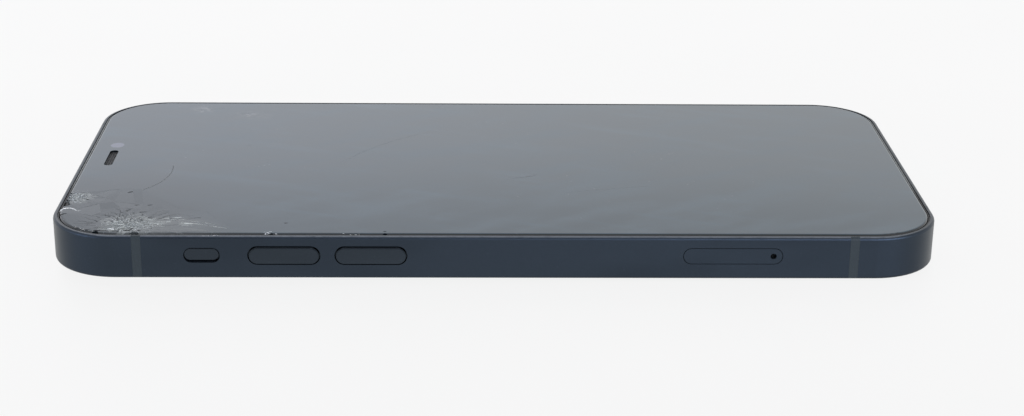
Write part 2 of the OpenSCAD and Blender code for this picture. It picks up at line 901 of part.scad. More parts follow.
// Chips bitten out of the cover glass's edge
module edge_chips() {
    for (chip = end_chips)
        translate([-body_l / 2 + glass_in, -body_w / 2 + chip[0], glass_z - cut])
            cylinder(r = chip[1], h = cover_glass_t + 2 * cut);
    for (chip = side_chips)
        translate([-body_l / 2 + chip[0], side_edge_y(-body_l / 2 + chip[0]), glass_z - cut])
            cylinder(r = chip[1], h = cover_glass_t + 2 * cut);
}

// Soft black rim that the cover glass sits in, with a shelf under the glass
module display_rim() {
    color([0.03, 0.03, 0.03])
        lifted()
            difference() {
                inset_block(lip_w + side_clear / 2, ledge_z, body_t - glass_edge_r * 0.6);
                inset_block(glass_in - seam, glass_z, body_t + cut);
                inset_block(panel_in - seam, ledge_z - cut, glass_z + cut);
            }
}

// Outline shared by the display's panel and plate, with the notch for the earpiece
module display_layer(z0, z1) {
    difference() {
        inset_block(panel_in, z0, z1);
        block(-body_l / 2, -notch_w / 2, z0 - cut, notch_x1, notch_w / 2, z1 + cut);
    }
}

module display_panel() {
    color([0.02, 0.02, 0.03])
        lifted()
            display_layer(panel_z, glass_z);
}

module display_plate() {
    color([0.55, 0.56, 0.58])
        lifted()
            display_layer(plate_z, panel_z);
}

// Folded flat cable between the display's plate and the board's connector
module display_flex() {
    x0 = display_flex_x;
    fold_y = board_y0 + 6;
    low = shield_top + connector_h;
    color([0.60, 0.38, 0.12])
        lifted()
            union() {
                block(x0, fold_y, plate_z - flex_t, x0 + 9, fold_y + 11, plate_z);
                block(x0, fold_y, low, x0 + 9, fold_y + flex_t, plate_z);
                block(x0, fold_y, low, x0 + 9, fold_y + 7, low + flex_t);
            }
}

module earpiece_mesh() {
    color([0.10, 0.12, 0.12])
        lifted()
            difference() {
                earpiece_slot(glass_z, body_t - 0.3, seam);
                for (i = [-6:6])
                    for (j = [-1, 0, 1])
                        translate([slot_x + j * 0.42, slot_offset + i * 0.52, glass_z - cut])
                            cylinder(r = 0.13, h = cover_glass_t + 2 * cut, $fn = 16);
            }
}

// Plastic bracket that fills the notch behind the glass and holds the sensors
module sensor_bracket() {
    color([0.05, 0.05, 0.06])
        lifted()
            difference() {
                block(-body_l / 2 + panel_in + side_clear, -notch_w / 2 + side_clear, plate_z,
                      notch_x1 - side_clear, notch_w / 2 - side_clear, glass_z);
                earpiece_slot(plate_z - cut, glass_z + cut, 0.2);
                translate([slot_x, front_camera_offset, plate_z - cut])
                    cylinder(r = front_camera_r + seam, h = glass_z - plate_z + 2 * cut);
                for (y = [infrared_y, projector_y])
                    translate([slot_x, y, plate_z - cut])
                        cylinder(r = sensor_r + seam, h = glass_z - plate_z + 2 * cut);
            }
}

module front_camera_window() {
    color([0.45, 0.45, 0.52])
        lifted()
            translate([slot_x, front_camera_offset, glass_z - 0.3])
                cylinder(r = front_camera_r, h = 0.3);
}

// A sensor module: a can under the bracket and a barrel up through it
module sensor_module(y, r, l, w, top) {
    union() {
        block(slot_x - l / 2, y - w / 2, floor_z, slot_x + l / 2, y + w / 2, plate_z);
        translate([slot_x, y, plate_z])
            cylinder(r = r, h = top - plate_z);
    }
}

module front_camera() {
    color([0.12, 0.12, 0.13])
        lifted()
            sensor_module(front_camera_offset, front_camera_r, sensor_l, 3.9, glass_z - 0.3);
}

module infrared_camera() {
    color([0.12, 0.12, 0.13])
        lifted()
            sensor_module(infrared_y, sensor_r, sensor_l, 5, glass_z);
}

module dot_projector() {
    color([0.22, 0.20, 0.16])
        lifted()
            sensor_module(projector_y, sensor_r, sensor_l, 5, glass_z);
}

// Earpiece speaker with a sound channel up to the slot
module earpiece_speaker() {
    room = 0.3;
    y1 = front_camera_offset - 1.95 - room;
    color([0.10, 0.10, 0.11])
        lifted()
            difference() {
                union() {
                    block(-cavity_x + room, slot_offset - 9.2, floor_z, slot_x + 4.2, y1, plate_z - 0.6);
                    block(slot_x - slot_w / 2, slot_offset - slot_l / 2 + 0.3, plate_z - 0.6,
                          slot_x + slot_w / 2, y1, plate_z);
                }
                block(slot_x - slot_w / 2 + 0.3, slot_offset - slot_l / 2 + 0.6, plate_z - 2,
                      slot_x + slot_w / 2 - 0.3, y1 - 0.3, plate_z + cut);
            }
}

// ---------------------------------------------------------------- inside

module battery() {
    seal = 0.7;
    color([0.05, 0.05, 0.05])
        lifted()
            union() {
                block(battery_x0 + 1.2, battery_y0, floor_z, battery_x1, battery_y1, floor_z + battery_t);
                block(battery_x0, battery_y0 + seal, floor_z, battery_x0 + 1.2, battery_y1 - seal,
                      floor_z + battery_t * 0.5);
            }
}

// Flat cable from the battery's folded edge to the board
module battery_flex() {
    x0 = battery_flex_x;
    z = shield_top + connector_h;
    color([0.55, 0.34, 0.10])
        lifted()
            union() {
                block(x0, board_y1 - 6, z, x0 + 6, battery_y0 + 3, z + flex_t);
                block(x0, battery_y0 + 2, floor_z + battery_t, x0 + 6, battery_y0 + 3, z + flex_t);
            }
}

module board_outline() {
    union() {
        translate([board_x0, board_y0])
            square([board_x1 - board_x0, board_w]);
        translate([board_x0, board_y1 - 1])
            square([board_arm_x1 - board_x0, board_arm_y1 - board_y1 + 1]);
    }
}

module logic_board() {
    color([0.03, 0.16, 0.18])
        lifted()
            difference() {
                translate([0, 0, board_z])
                    linear_extrude(board_t)
                        board_outline();
                for (p = board_screws)
                    translate([p[0], p[1], board_z - cut])
                        cylinder(r = 0.75, h = board_t + 2 * cut, $fn = 32);
            }
}

// Shield cans on both faces of the board, cut up by the gap between circuits
module board_shields() {
    gap = 1.0;
    edge = 3.4;
    can_l = (board_x1 - board_x0 - 2 * edge - 2 * gap) / 3;
    color([0.70, 0.71, 0.73])
        lifted() {
            for (i = [0:2]) {
                x = board_x0 + edge + i * (can_l + gap);
                block(x, board_y0 + 0.8, board_z + board_t, x + can_l, board_y1 - 0.8, shield_top);
                block(x, board_y0 + 0.8, floor_z, x + can_l, board_y1 - 0.8, board_z);
            }
            block(board_x0 + edge, board_y1 + 0.6, board_z + board_t,
                  board_arm_x1 - 1, board_arm_y1 - 0.8, shield_top);
            block(board_x0 + edge, board_y1 + 0.6, floor_z,
                  board_arm_x1 - 1, board_arm_y1 - 0.8, board_z);
        }
}

// Row of board-to-board connectors on top of the shields
module board_connectors() {
    color([0.15, 0.15, 0.16])
        lifted() {
            block(display_flex_x, board_y0 + 7, shield_top,
                  display_flex_x + 9, board_y0 + 10, shield_top + connector_h);
            block(battery_flex_x, board_y1 - 6, shield_top,
                  battery_flex_x + 6, board_y1 - 3, shield_top + connector_h);
        }
}

// Graphite sheet over the rest of the shields
module heat_spreader() {
    color([0.16, 0.16, 0.17])
        lifted()
            block(battery_x0 + 20, board_y0 + 2, shield_top, board_x1 - 3, board_y1 - 2, shield_top + 0.1);
}

// Screws that hold the board down on the deck
module inner_screws() {
    color([0.78, 0.78, 0.80])
        lifted()
            for (p = board_screws)
                translate([p[0], p[1], floor_z])
                    union() {
                        cylinder(r = 0.7, h = board_z + board_t - floor_z, $fn = 32);
                        translate([0, 0, board_z + board_t - floor_z])
                            difference() {
                                cylinder(r = 1.2, h = 0.5, $fn = 32);
                                translate([0, 0, 0.25])
                                    for (a = [0, 90])
                                        rotate([0, 0, a])
                                            translate([-0.7, -0.12, 0])
                                                cube([1.4, 0.24, cut]);
                            }
                    }
}

// ---------------------------------------------------------------- charging coil

// Corners of a flat spiral strip, out along one edge and back along the other
function spiral(t, edge) =
    let (r = coil_r0 + (coil_r1 - coil_r0 - coil_strip) * t / (coil_turns * coil_steps) + edge)
    r * [cos(t * 360 / coil_steps), sin(t * 360 / coil_steps)];

module charging_coil() {
    last = coil_turns * coil_steps;
    color([0.72, 0.40, 0.16])
        lifted()
            translate([coil_x, 0, deck_z])
                linear_extrude(coil_t)
                    polygon(concat([for (t = [0:last]) spiral(t, coil_strip)],
                                   [for (t = [last:-1:0]) spiral(t, 0)]));
}

module coil_shield() {
    color([0.22, 0.22, 0.24])
        lifted()
            translate([coil_x, 0, floor_z - coil_shield_t])
                cylinder(r = coil_r1 + 0.6, h = coil_shield_t);
}

module coil_magnets() {
    share = 0.86;
    turn = 360 / magnet_count;
    color([0.60, 0.61, 0.64])
        lifted()
            translate([coil_x, 0, deck_z])
                for (i = [0:magnet_count - 1])
                    rotate([0, 0, (i + 0.5 - share / 2) * turn])
                        rotate_extrude(angle = share * turn)
                            translate([magnet_r0, 0])
                                square([magnet_w, deck_t]);
}

// ---------------------------------------------------------------- card tray

// Frame around the tray's slot, with a side channel for the eject rod
module card_reader() {
    roof = 0.4;
    slot_z0 = side_z - reader_slot_h / 2;
    slot_z1 = side_z + reader_slot_h / 2;
    color([0.68, 0.69, 0.70])
        lifted()
            difference() {
                block(reader_x0, -cavity_y + 0.15, floor_z,
                      reader_x0 + reader_l, reader_end, slot_z1 + roof);
                block(reader_x0 + reader_wall, -cavity_y - cut, slot_z0,
                      reader_x0 + reader_l - reader_wall, reader_end - reader_wall, slot_z1);
                block(tray_left + 1, -cavity_y + 3, slot_z1 - cut,
                      tray_left + tray_plate_l - 1, reader_end - 6, slot_z1 + roof + cut);
            }
}

module eject_rod() {
    color([0.80, 0.80, 0.82])
        lifted()
            block(eject_x - rod_w / 2, -body_w / 2 + tray_face_t + 0.6, side_z - reader_slot_h / 2,
                  eject_x + rod_w / 2, lever_y - lever_w / 2 - 0.02, side_z + rod_w / 2);
}

// Rocker that the rod pushes at one end and that pushes the tray with the other
module eject_lever() {
    color([0.80, 0.80, 0.82])
        lifted()
            translate([0, 0, side_z - reader_slot_h / 2])
                linear_extrude(0.6)
                    difference() {
                        union() {
                            translate([tray_left + 2, lever_y - lever_w / 2])
                                square([eject_x + rod_w / 2 - tray_left - 2, lever_w]);
                            translate([lever_pivot_x, lever_y])
                                circle(r = lever_w * 0.75);
                        }
                        translate([lever_pivot_x, lever_y])
                            circle(r = pivot_r + 0.03);
                    }
}

module eject_pivot() {
    color([0.50, 0.50, 0.52])
        lifted()
            translate([lever_pivot_x, lever_y, side_z - reader_slot_h / 2])
                cylinder(r = pivot_r, h = 0.9, $fn = 32);
}

// Tray: face plate with the eject hole, groove for the seal, and the card's frame
module card_tray() {
    color([0.13, 0.18, 0.24])
        lifted()
            difference() {
                union() {
                    on_buttons_side(tray_x, side_z)
                        translate([0, 0, -tray_face_t])
                            linear_extrude(tray_face_t)
                                pill(tray_face_l, tray_face_h);
                    block(tray_left, -body_w / 2 + tray_face_t - 0.2, side_z - tray_plate_t / 2,
                          tray_left + tray_plate_l, -body_w / 2 + tray_depth, side_z + tray_plate_t / 2);
                }
                on_buttons_side(tray_x, side_z)
                    translate([0, 0, -seal_in - seal_w])
                        linear_extrude(seal_w)
                            difference() {
                                pill(tray_opening_l + cut, tray_opening_h + cut);
                                pill(tray_face_l - 0.5, tray_face_h - 0.5);
                            }
                on_buttons_side(eject_x, side_z)
                    translate([0, 0, -tray_face_t - cut])
                        cylinder(r = eject_hole_r, h = tray_face_t + 2 * cut, $fn = 32);
                translate([0, 0, side_z - tray_plate_t / 2 + card_floor])
                    linear_extrude(tray_plate_t)
                        card_outline(0);
                translate([card_x + 0.8, card_y + 0.8, side_z - tray_plate_t / 2 - cut])
                    cube([card_l - 1.6, card_w - card_corner - 1.2, tray_plate_t + 2 * cut]);
            }
}

// Card outline with one corner cut off, drawn in by a clearance
module card_outline(shrink) {
    l = card_l - 2 * shrink;
    w = card_w - 2 * shrink;
    translate([card_x + shrink, card_y + shrink])
        polygon([[0, 0], [l, 0], [l, w], [card_corner, w], [0, w - card_corner]]);
}

// The plastic card that lies in the tray
module data_card() {
    color([0.90, 0.90, 0.88])
        lifted()
            translate([0, 0, side_z - tray_plate_t / 2 + card_floor])
                linear_extrude(card_t)
                    card_outline(0.08);
}

module tray_seal() {
    color([0.06, 0.06, 0.06])
        lifted()
            on_buttons_side(tray_x, side_z)
                translate([0, 0, -seal_in - seal_w + seam])
                    linear_extrude(seal_w - 2 * seam)
                        difference() {
                            pill(tray_opening_l - 0.1, tray_opening_h - 0.1);
                            pill(tray_face_l - 0.5 + 2 * seam, tray_face_h - 0.5 + 2 * seam);
                        }
}

// ---------------------------------------------------------------- buttons

module volume_up_button() {
    color([0.13, 0.14, 0.16])
        lifted()
            on_buttons_side(volume_up_x, side_z)
                push_button(volume_opening_l, [0]);
}

module volume_down_button() {
    color([0.13, 0.14, 0.16])
        lifted()
            on_buttons_side(volume_down_x, side_z)
                push_button(volume_opening_l, [0]);
}

module side_button() {
    color([0.13, 0.14, 0.16])
        lifted()
            on_power_side(side_button_x, side_z)
                push_button(side_opening_l, [0]);
}

// Slider that rests towards the screen and slides towards the back
module silent_switch() {
    wing_z = -skin_t - side_clear / 2;
    color([0.14, 0.16, 0.18])
        lifted()
            on_buttons_side(switch_x, side_z + switch_rest) {
                translate([0, 0, wing_z])
                    linear_extrude(button_proud - 0.1 - wing_z)
                        pill(switch_l, switch_h);
                translate([0, 0, wing_z - wing_t])
                    linear_extrude(wing_t)
                        square([switch_opening_l + 2 * wing_l, switch_wing_h], center = true);
                translate([0, 0, -wall_t - 0.6])
                    cylinder(r = peg_r, h = wall_t + 0.6 + wing_z - wing_t / 2, $fn = 32);
            }
}

// Switch inside the band, with a slot for the slider's peg
module switch_unit() {
    slot_h = switch_travel + 2 * peg_r + 0.2;
    color([0.12, 0.12, 0.13])
        lifted()
            on_buttons_side(switch_x, side_z)
                translate([0, 0, -wall_t - switch_unit_w])
                    linear_extrude(switch_unit_w - 0.02)
                        difference() {
                            square([switch_unit_l, switch_recess_h - 0.4], center = true);
                            translate([-peg_r - 0.1, -slot_h / 2])
                                square([2 * peg_r + 0.2, slot_h]);
                        }
}

// Flat cable behind the volume buttons
module volume_flex() {
    color([0.60, 0.38, 0.12])
        lifted()
            on_buttons_side(volume_mid_x, side_z)
                translate([-volume_bracket_l / 2, -button_h / 2, -wall_t - flex_t])
                    cube([volume_bracket_l, button_h, flex_t]);
}

module volume_domes() {
    color([0.82, 0.82, 0.80])
        lifted()
            for (x = [volume_up_x, volume_down_x])
                on_buttons_side(x, side_z)
                    dome(0);
}

// Steel plate that backs the flat cable
module volume_bracket() {
    color([0.72, 0.73, 0.75])
        lifted()
            on_buttons_side(volume_mid_x, side_z)
                translate([-volume_bracket_l / 2, -button_h / 2, -wall_t - flex_t - bracket_t])
                    cube([volume_bracket_l, button_h, bracket_t]);
}

module side_bracket() {
    color([0.72, 0.73, 0.75])
        lifted()
            on_power_side(side_button_x, side_z)
                translate([-side_bracket_l / 2, -button_h / 2, -wall_t - bracket_t])
                    cube([side_bracket_l, button_h, bracket_t]);
}

module side_dome() {
    color([0.82, 0.82, 0.80])
        lifted()
            on_power_side(side_button_x, side_z)
                dome(0);
}

// ---------------------------------------------------------------- socket end

// Sleeve of the charging socket, from the band's outer face inwards
module socket_shell() {
    color([0.10, 0.11, 0.12])
        lifted()
            on_socket_end(0, side_z)
                translate([0, 0, -socket_depth])
                    difference() {
                        union() {
                            linear_extrude(socket_depth - wall_t - 0.02)
                                pill(socket_w + 2 * socket_wall, socket_h + 2 * socket_wall);
                            linear_extrude(socket_depth - 0.3)
                                pill(socket_w - 2 * seam, socket_h - 2 * seam);
                        }
                        translate([0, 0, 0.8])
                            linear_extrude(socket_depth + cut)
                                pill(socket_w - 2 * socket_wall, socket_h - 2 * socket_wall);
                    }
}

// Spring contacts on the socket's lower wall
module socket_contacts() {
    pitch = 0.8;
    color([0.85, 0.68, 0.32])
        lifted()
            on_socket_end(0, side_z)
                for (i = [-3.5:3.5])
                    translate([i * pitch - 0.18, -socket_h / 2 + socket_wall, -socket_depth + 0.8])
                        cube([0.36, 0.3, 4.6]);
}

// Board that carries the socket and the modules beside it
module dock_flex() {
    color([0.55, 0.34, 0.10])
        lifted()
            block(bottom_x + 1.5, -speaker_y0, floor_z, cavity_x - 0.2, speaker_y0 - 1.4, floor_z + 0.25);
}

// Screws that close the body, with a five-lobed recess in each head
module end_screws() {
    lobes = 5;
    shank_r = 0.5;
    color([0.22, 0.26, 0.32])
        lifted()
            for (y = [-1, 1])
                on_socket_end(y * end_screw_pos, side_z)
                    difference() {
                        union() {
                            translate([0, 0, -1.4])
                                cylinder(r = end_screw_r, h = 1.3);
                            translate([0, 0, -5])
                                cylinder(r = shank_r, h = 4);
                        }
                        translate([0, 0, -0.7]) {
                            cylinder(r = 0.3, h = cut, $fn = 32);
                            for (i = [0:lobes - 1])
                                rotate([0, 0, i * 360 / lobes])
                                    translate([0.32, 0, 0])
                                        cylinder(r = 0.14, h = cut, $fn = 24);
                        }
                    }
}

// Woven screens behind the sound holes, clipped to the cavity's rounded corners
module dust_meshes() {
    t = 0.25;
    color([0.10, 0.10, 0.11])
        lifted() {
            intersection() {
                sound_screen(speaker_holes, t);
                inset_block(wall_t + seam, floor_z, ledge_z);
            }
            intersection() {
                mirror([0, 1, 0])
                    sound_screen(microphone_holes, t);
                inset_block(wall_t + seam, floor_z, ledge_z);
            }
        }
}

module sound_screen(holes, t) {
    block(cavity_x - t, speaker_y0 - 1.2, side_z - 1.3, cavity_x,
          speaker_y0 + (holes - 1) * sound_hole_pitch + 1.2, side_z + 1.3);
}

// Loudspeaker box in the corner beside the socket
module loudspeaker() {
    y0 = speaker_y0 - 1.2;
    corner_x = cavity_x - (corner_r - wall_t) + 0.1;
    corner_y = cavity_y - (corner_r - wall_t) + 0.9;
    color([0.08, 0.08, 0.09])
        lifted()
            difference() {
                union() {
                    block(bottom_x + 1.5, y0, floor_z, corner_x, cavity_y - 1.2, plate_z - 0.5);
                    block(bottom_x + 1.5, y0, floor_z, cavity_x - 0.3, corner_y, plate_z - 0.5);
                }
                block(cavity_x - 4, y0 + 0.8, side_z - 1.1, cavity_x + cut, corner_y - 1, side_z + 1.1);
            }
}

// Vibration motor between the socket and the button side
module haptic_motor() {
    color([0.62, 0.63, 0.66])
        lifted()
            block(bottom_x + 1.5, -cavity_y + 2, floor_z, cavity_x - 8.5,
                  -speaker_y0 - haptic_gap, plate_z - 0.5);
}

module microphone() {
    y = -speaker_y0 - (microphone_holes - 1) * sound_hole_pitch / 2;
    color([0.75, 0.70, 0.45])
        lifted()
            block(cavity_x - 3.4, y - 2.4, floor_z, cavity_x - 0.3, y + 2.4, side_z + 1.4);
}

// ---------------------------------------------------------------- nodes

chassis();
antenna_bands();
back_glass();
back_glue();
camera_island();
lens_rings();
lens_windows();
flash_window();
flash_unit();
main_camera();
wide_camera();
camera_bracket();
cover_glass();
glass_shards();
display_rim();
display_panel();
display_plate();
display_flex();
earpiece_mesh();
earpiece_speaker();
sensor_bracket();
front_camera();
front_camera_window();
infrared_camera();
dot_projector();
battery();
battery_flex();
logic_board();
board_shields();
board_connectors();
heat_spreader();
inner_screws();
charging_coil();
coil_shield();
coil_magnets();
card_reader();
eject_rod();
eject_lever();
eject_pivot();
card_tray();
tray_seal();
data_card();
volume_up_button();
volume_down_button();
side_button();
silent_switch();
switch_unit();
volume_flex();
volume_domes();
volume_bracket();
side_bracket();
side_dome();
socket_shell();
socket_contacts();
dock_flex();
end_screws();
dust_meshes();
loudspeaker();
haptic_motor();
microphone();
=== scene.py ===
"""Looks of a smartphone with a shattered corner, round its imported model, and a plain studio stage."""
import json
import math
import random

import bmesh
import bpy
from mathutils import Matrix, Vector


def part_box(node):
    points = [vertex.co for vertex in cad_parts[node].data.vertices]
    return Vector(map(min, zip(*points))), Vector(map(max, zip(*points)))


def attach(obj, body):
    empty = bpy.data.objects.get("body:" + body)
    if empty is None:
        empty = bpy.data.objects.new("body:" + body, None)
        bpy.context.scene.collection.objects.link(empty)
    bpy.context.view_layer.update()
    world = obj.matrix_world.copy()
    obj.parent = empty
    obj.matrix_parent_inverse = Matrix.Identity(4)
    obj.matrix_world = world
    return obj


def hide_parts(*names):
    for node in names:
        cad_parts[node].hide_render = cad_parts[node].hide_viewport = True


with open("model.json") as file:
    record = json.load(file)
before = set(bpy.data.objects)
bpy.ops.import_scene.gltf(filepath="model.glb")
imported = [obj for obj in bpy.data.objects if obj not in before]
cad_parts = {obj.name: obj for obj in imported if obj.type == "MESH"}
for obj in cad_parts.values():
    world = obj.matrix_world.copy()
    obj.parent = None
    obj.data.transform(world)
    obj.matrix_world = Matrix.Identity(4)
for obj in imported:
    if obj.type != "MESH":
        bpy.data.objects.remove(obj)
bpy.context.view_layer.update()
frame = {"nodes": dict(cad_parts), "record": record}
MM = 0.001

bl_info = {
    "name": "Shattered Phone",
    "version": (1, 0, 0),
    "blender": (4, 5, 0),
    "location": "View3D > Sidebar > Phone",
    "description": "Finishes, broken glass and a studio stage for a phone with a shattered corner",
    "category": "Object",
}

# The CAD body, in metres
BAND_LOW, BAND_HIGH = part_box("chassis")
GLASS_LOW, GLASS_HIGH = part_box("cover_glass")
WINDOW_LOW, WINDOW_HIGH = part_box("front_camera_window")
SHARDS_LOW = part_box("glass_shards")[0]
RINGS_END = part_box("lens_rings")[1].x
SIDE_Y = BAND_LOW.y
GLASS_TOP = GLASS_HIGH.z
BAND_CORNER_R = 11.5 * MM
GLASS_CORNER_R = BAND_CORNER_R - (GLASS_LOW.x - BAND_LOW.x)
GLASS_ROUND = 0.5 * MM

# Where the glass was struck: on the button side, and a second crushed place at the earpiece end
IMPACT = Vector((BAND_LOW.x + 12.9 * MM, SIDE_Y + 4.9 * MM))
END_CRUSH = Vector((GLASS_LOW.x + 1.6 * MM, SIDE_Y + 17.8 * MM))

# The corner that took the blow, towards which the glass is painted darker as painted shade
STRUCK_CORNER = Vector((-67.0, -30.0)) * MM

# Fingerprints: middle in millimetres, size as a stretch, and turn
PRINTS = (((-55.4, 30.2), (0.34, 0.30), 0.0), ((-45.6, 27.0), (0.20, 0.32), -0.2))

# The brightest frosted cracks of the fan: both ends in millimetres, and a width share
FAN_LINES = (
    ((-56.0, -30.9), (-52.5, -30.4), 1.3), ((-55.1, -28.2), (-51.5, -27.4), 1.6),
    ((-52.8, -29.7), (-47.5, -30.9), 1.2), ((-53.1, -30.8), (-48.5, -30.3), 0.9),
    ((-47.6, -31.2), (-43.7, -32.4), 0.8), ((-58.2, -29.2), (-55.6, -28.0), 1.2),
    ((-57.2, -31.6), (-53.9, -31.5), 1.0), ((-50.2, -29.2), (-46.2, -30.6), 0.8),
)

# Short dark cracks: middle and turn in millimetres and degrees, length in millimetres, and a width share
DARK_FLECKS = (
    (-62.02, -15.42, 38.0, 1.3, 2.2), (-60.03, -21.76, 10.0, 0.9, 1.4), (-57.87, -21.74, 18.0, 0.9, 1.2),
    (-58.54, -25.05, 12.0, 1.3, 1.6), (-34.49, -29.96, 5.0, 0.7, 1.7), (-18.17, -33.68, 0.0, 0.6, 1.8),
    (-71.75, -26.5, 70.0, 1.5, 3.6), (-71.3, -25.9, 20.0, 0.8, 2.0), (-66.3, -33.2, -14.0, 1.6, 1.8),
    (-64.6, -33.5, -6.0, 1.7, 3.0), (-59.9, -33.5, 8.0, 1.4, 2.6), (-59.2, -32.7, 60.0, 1.1, 2.0),
    (-68.1, -32.2, -30.0, 1.0, 1.6), (-63.4, -33.6, 0.0, 2.6, 2.0), (-61.4, -33.7, 0.0, 2.2, 2.2),
    (-57.9, -33.4, -20.0, 0.9, 1.8),
)

# Scratches: three points in millimetres, and a width share
SCRATCHES = (
    ((-27.3, -0.9), (-20.6, 9.6), (-9.8, 18.9), 0.8),
    ((11.5, -15.2), (20.0, -13.3), (28.2, -11.4), 0.5),
    ((2.7, -7.95), (5.6, -7.2), (7.5, -6.0), 3.4),
    ((-44.7, 9.2), (-44.2, 9.4), (-43.8, 9.3), 1.3),
    ((-55.9, 31.0), (-53.2, 30.6), (-51.0, 31.4), 0.8),
    ((-48.4, 27.3), (-46.9, 27.8), (-45.8, 27.5), 1.0),
)

# The long crack beyond the broken corner: where its arc starts, as seen from the impact, and the arc
LONG_CRACK_START, LONG_CRACK_ANGLE = 15.305 * MM, math.radians(93.3)
LONG_CRACK_R, LONG_CRACK_LENGTH = 15.4 * MM, 14.6 * MM
LONG_CRACK_TURN = math.radians(7.9)

# Splinters in the chips along the glass's edge: place along it, distance in from it, spread along it,
# number, whiteness and size; the whiteness is partly the splinters' own paleness and partly painted glint
CHIPS = (
    (-62.75, 1.85, 1.5, 5, 1.8, 2.2), (-62.9, 2.5, 1.4, 5, 1.0, 1.2), (-60.4, 1.2, 2.6, 24, 0.5, 1.0),
    (-56.6, 1.1, 2.4, 22, 0.75, 1.0), (-37.0, 0.40, 1.5, 18, 1.8, 1.5), (-23.4, 0.40, 3.4, 22, 0.7, 1.2),
    (-18.17, 0.5, 0.8, 3, 0.5, 1.0), (-54.4, 0.8, 1.6, 8, 0.6, 1.0), (-66.8, 1.6, 1.8, 14, 0.35, 1.0),
)

# The pale broken edge beside the missing piece, painted white as a glint: its start, length and bulge in
# millimetres, and steps
MISSING_EDGE_GLINT = ((-72.45, -24.55), 3.5, 1.30, 33)

# Nicks in the band's lip: place along it in millimetres, and number of flakes
NICKS = ((-46.9, 9), (-45.9, 7), (-45.2, 4))

# Length, width and height of a splinter of glass and of a nick, each from and to, in millimetres
SPLINTER_SIZES = ((0.25, 0.75), (0.10, 0.26), (0.06, 0.12))
NICK_SIZES = ((0.25, 0.50), (0.14, 0.26), (0.08, 0.14))


# ---------------------------------------------------------------- settings

def colour(name, description, default):
    return bpy.props.FloatVectorProperty(
        name=name, description=description, default=default, subtype="COLOR", size=3, min=0.0, max=1.0
    )


def number(name, description, default, **limits):
    return bpy.props.FloatProperty(name=name, description=description, default=default, **limits)


def length(name, description, default):
    return number(name, description, default, min=0.0, unit="LENGTH")


def share(name, description, default):
    return number(name, description, default, min=0.0, max=1.0, subtype="FACTOR")


def count(name, description, default):
    return bpy.props.IntProperty(name=name, description=description, default=default, min=0)


class PhoneFinishSettings(bpy.types.PropertyGroup):
    """Colours and roughness of the phone's surfaces."""

    band: colour("Band", "Anodised metal of the band and the card tray", (0.0328, 0.0428, 0.0565))
    button: colour("Buttons", "Anodised metal, less blue than the band", (0.0345, 0.0430, 0.0530))
    strip: colour("Band strips", "Plastic strips in the band", (0.021, 0.029, 0.034))
    rim: colour("Soft rim", "Black rim between band and glass", (0.008, 0.008, 0.009))
    screen: colour("Screen", "The switched-off display under the cover glass", (0.016, 0.036, 0.051))
    frost: colour("Frosted glass", "Crushed and broken faces of the glass", (0.46, 0.49, 0.465))
    back: colour("Back glass", "Painted layer under the back glass", (0.012, 0.022, 0.042))
    ring: colour("Lens rings", "Polished metal of the lens rings", (0.050, 0.070, 0.100))
    glass_roughness: share("Glass roughness", "Roughness of the clean cover glass", 0.05)
    band_roughness: share("Band roughness", "Roughness of the blasted and anodised band", 0.36)


class PhoneFractureSettings(bpy.types.PropertyGroup):
    """Sizes of the broken glass."""

    seed: count("Seed", "Seed of the fracture", 7)
    fine_size: length("Finest fragment", "Size of the fragments at the points of impact", 0.42 * MM)
    closing: length("Closing", "How far the large fragments swell to close the cracks", 0.057 * MM)
    crack_gap: length("Crack gap", "Gap between neighbouring fragments", 0.008 * MM)
    chamfer: length("Chamfer", "Width of the broken edge on each fragment", 0.030 * MM)
    lost_share: share("Lost share", "Share of the finest fragments that fell out", 0.05)
    grains: count("Grains", "Grains of crushed glass", 1300)
    grain_size: length("Grain size", "Size of the largest grain of crushed glass", 0.17 * MM)
    streaks: count("Streaks", "Frosted cracks in the fan", 30)
    streak_width: length("Streak width", "Width of the widest frosted crack", 0.30 * MM)


class PhoneStageSettings(bpy.types.PropertyGroup):
    """Floor, light and camera."""

    floor_size: length("Floor size", "Side of the square floor", 4.0)
    floor: colour("Floor", "Light of the pale floor", (0.868, 0.868, 0.867))
    sky_strength: number("Sky strength", "Strength of the even light all round", 1.0, min=0.0)
    low_glow: share("Low glow", "Extra light from low down behind the phone", 0.205)
    front_shade: share("Front shade", "How much darker it is behind the camera", 0.65)
    lens: number("Lens", "Focal length on a 36 mm sensor, in millimetres", 69.63, min=10.0)
    yaw: number("Yaw", "Camera's turn about the upright axis", math.radians(1.597), subtype="ANGLE")
    pitch: number("Pitch", "Camera's angle down from level", math.radians(20.656), subtype="ANGLE")
    roll: number("Roll", "Camera's turn about its own axis", math.radians(0.706), subtype="ANGLE")
    distance: length("Distance", "Distance from the camera to the point that it looks at", 342.47 * MM)
    target_x: number("Target X", "Point that the camera looks at, along", 2.967 * MM, unit="LENGTH")
    target_y: number("Target Y", "Point that the camera looks at, across", -12.92 * MM, unit="LENGTH")


def finish():
    return bpy.context.scene.phone_finish


def fracture():
    return bpy.context.scene.phone_fracture


# ---------------------------------------------------------------- shader helpers

def feed(tree, socket, value):
    """Links another node's output to a socket, or sets the socket's own value."""
    if isinstance(value, bpy.types.NodeSocket):
        tree.links.new(value, socket)
    elif socket.type == "RGBA":
        socket.default_value = (*value, 1.0)
    else:
        socket.default_value = value


def node(tree, kind, links=(), **settings):
    """Adds a node with its settings, and feeds its sockets."""
    made = tree.nodes.new(kind)
    for key, value in settings.items():
        setattr(made, key, value)
    for key, value in dict(links).items():
        feed(tree, made.inputs[key], value)
    return made


def ramp(tree, value, low, high, to_low, to_high):
    """A value mapped smoothly from one range to another."""
    values = {"Value": value, "From Min": low, "From Max": high, "To Min": to_low, "To Max": to_high}
    return node(tree, "ShaderNodeMapRange", values, interpolation_type="SMOOTHSTEP").outputs["Result"]


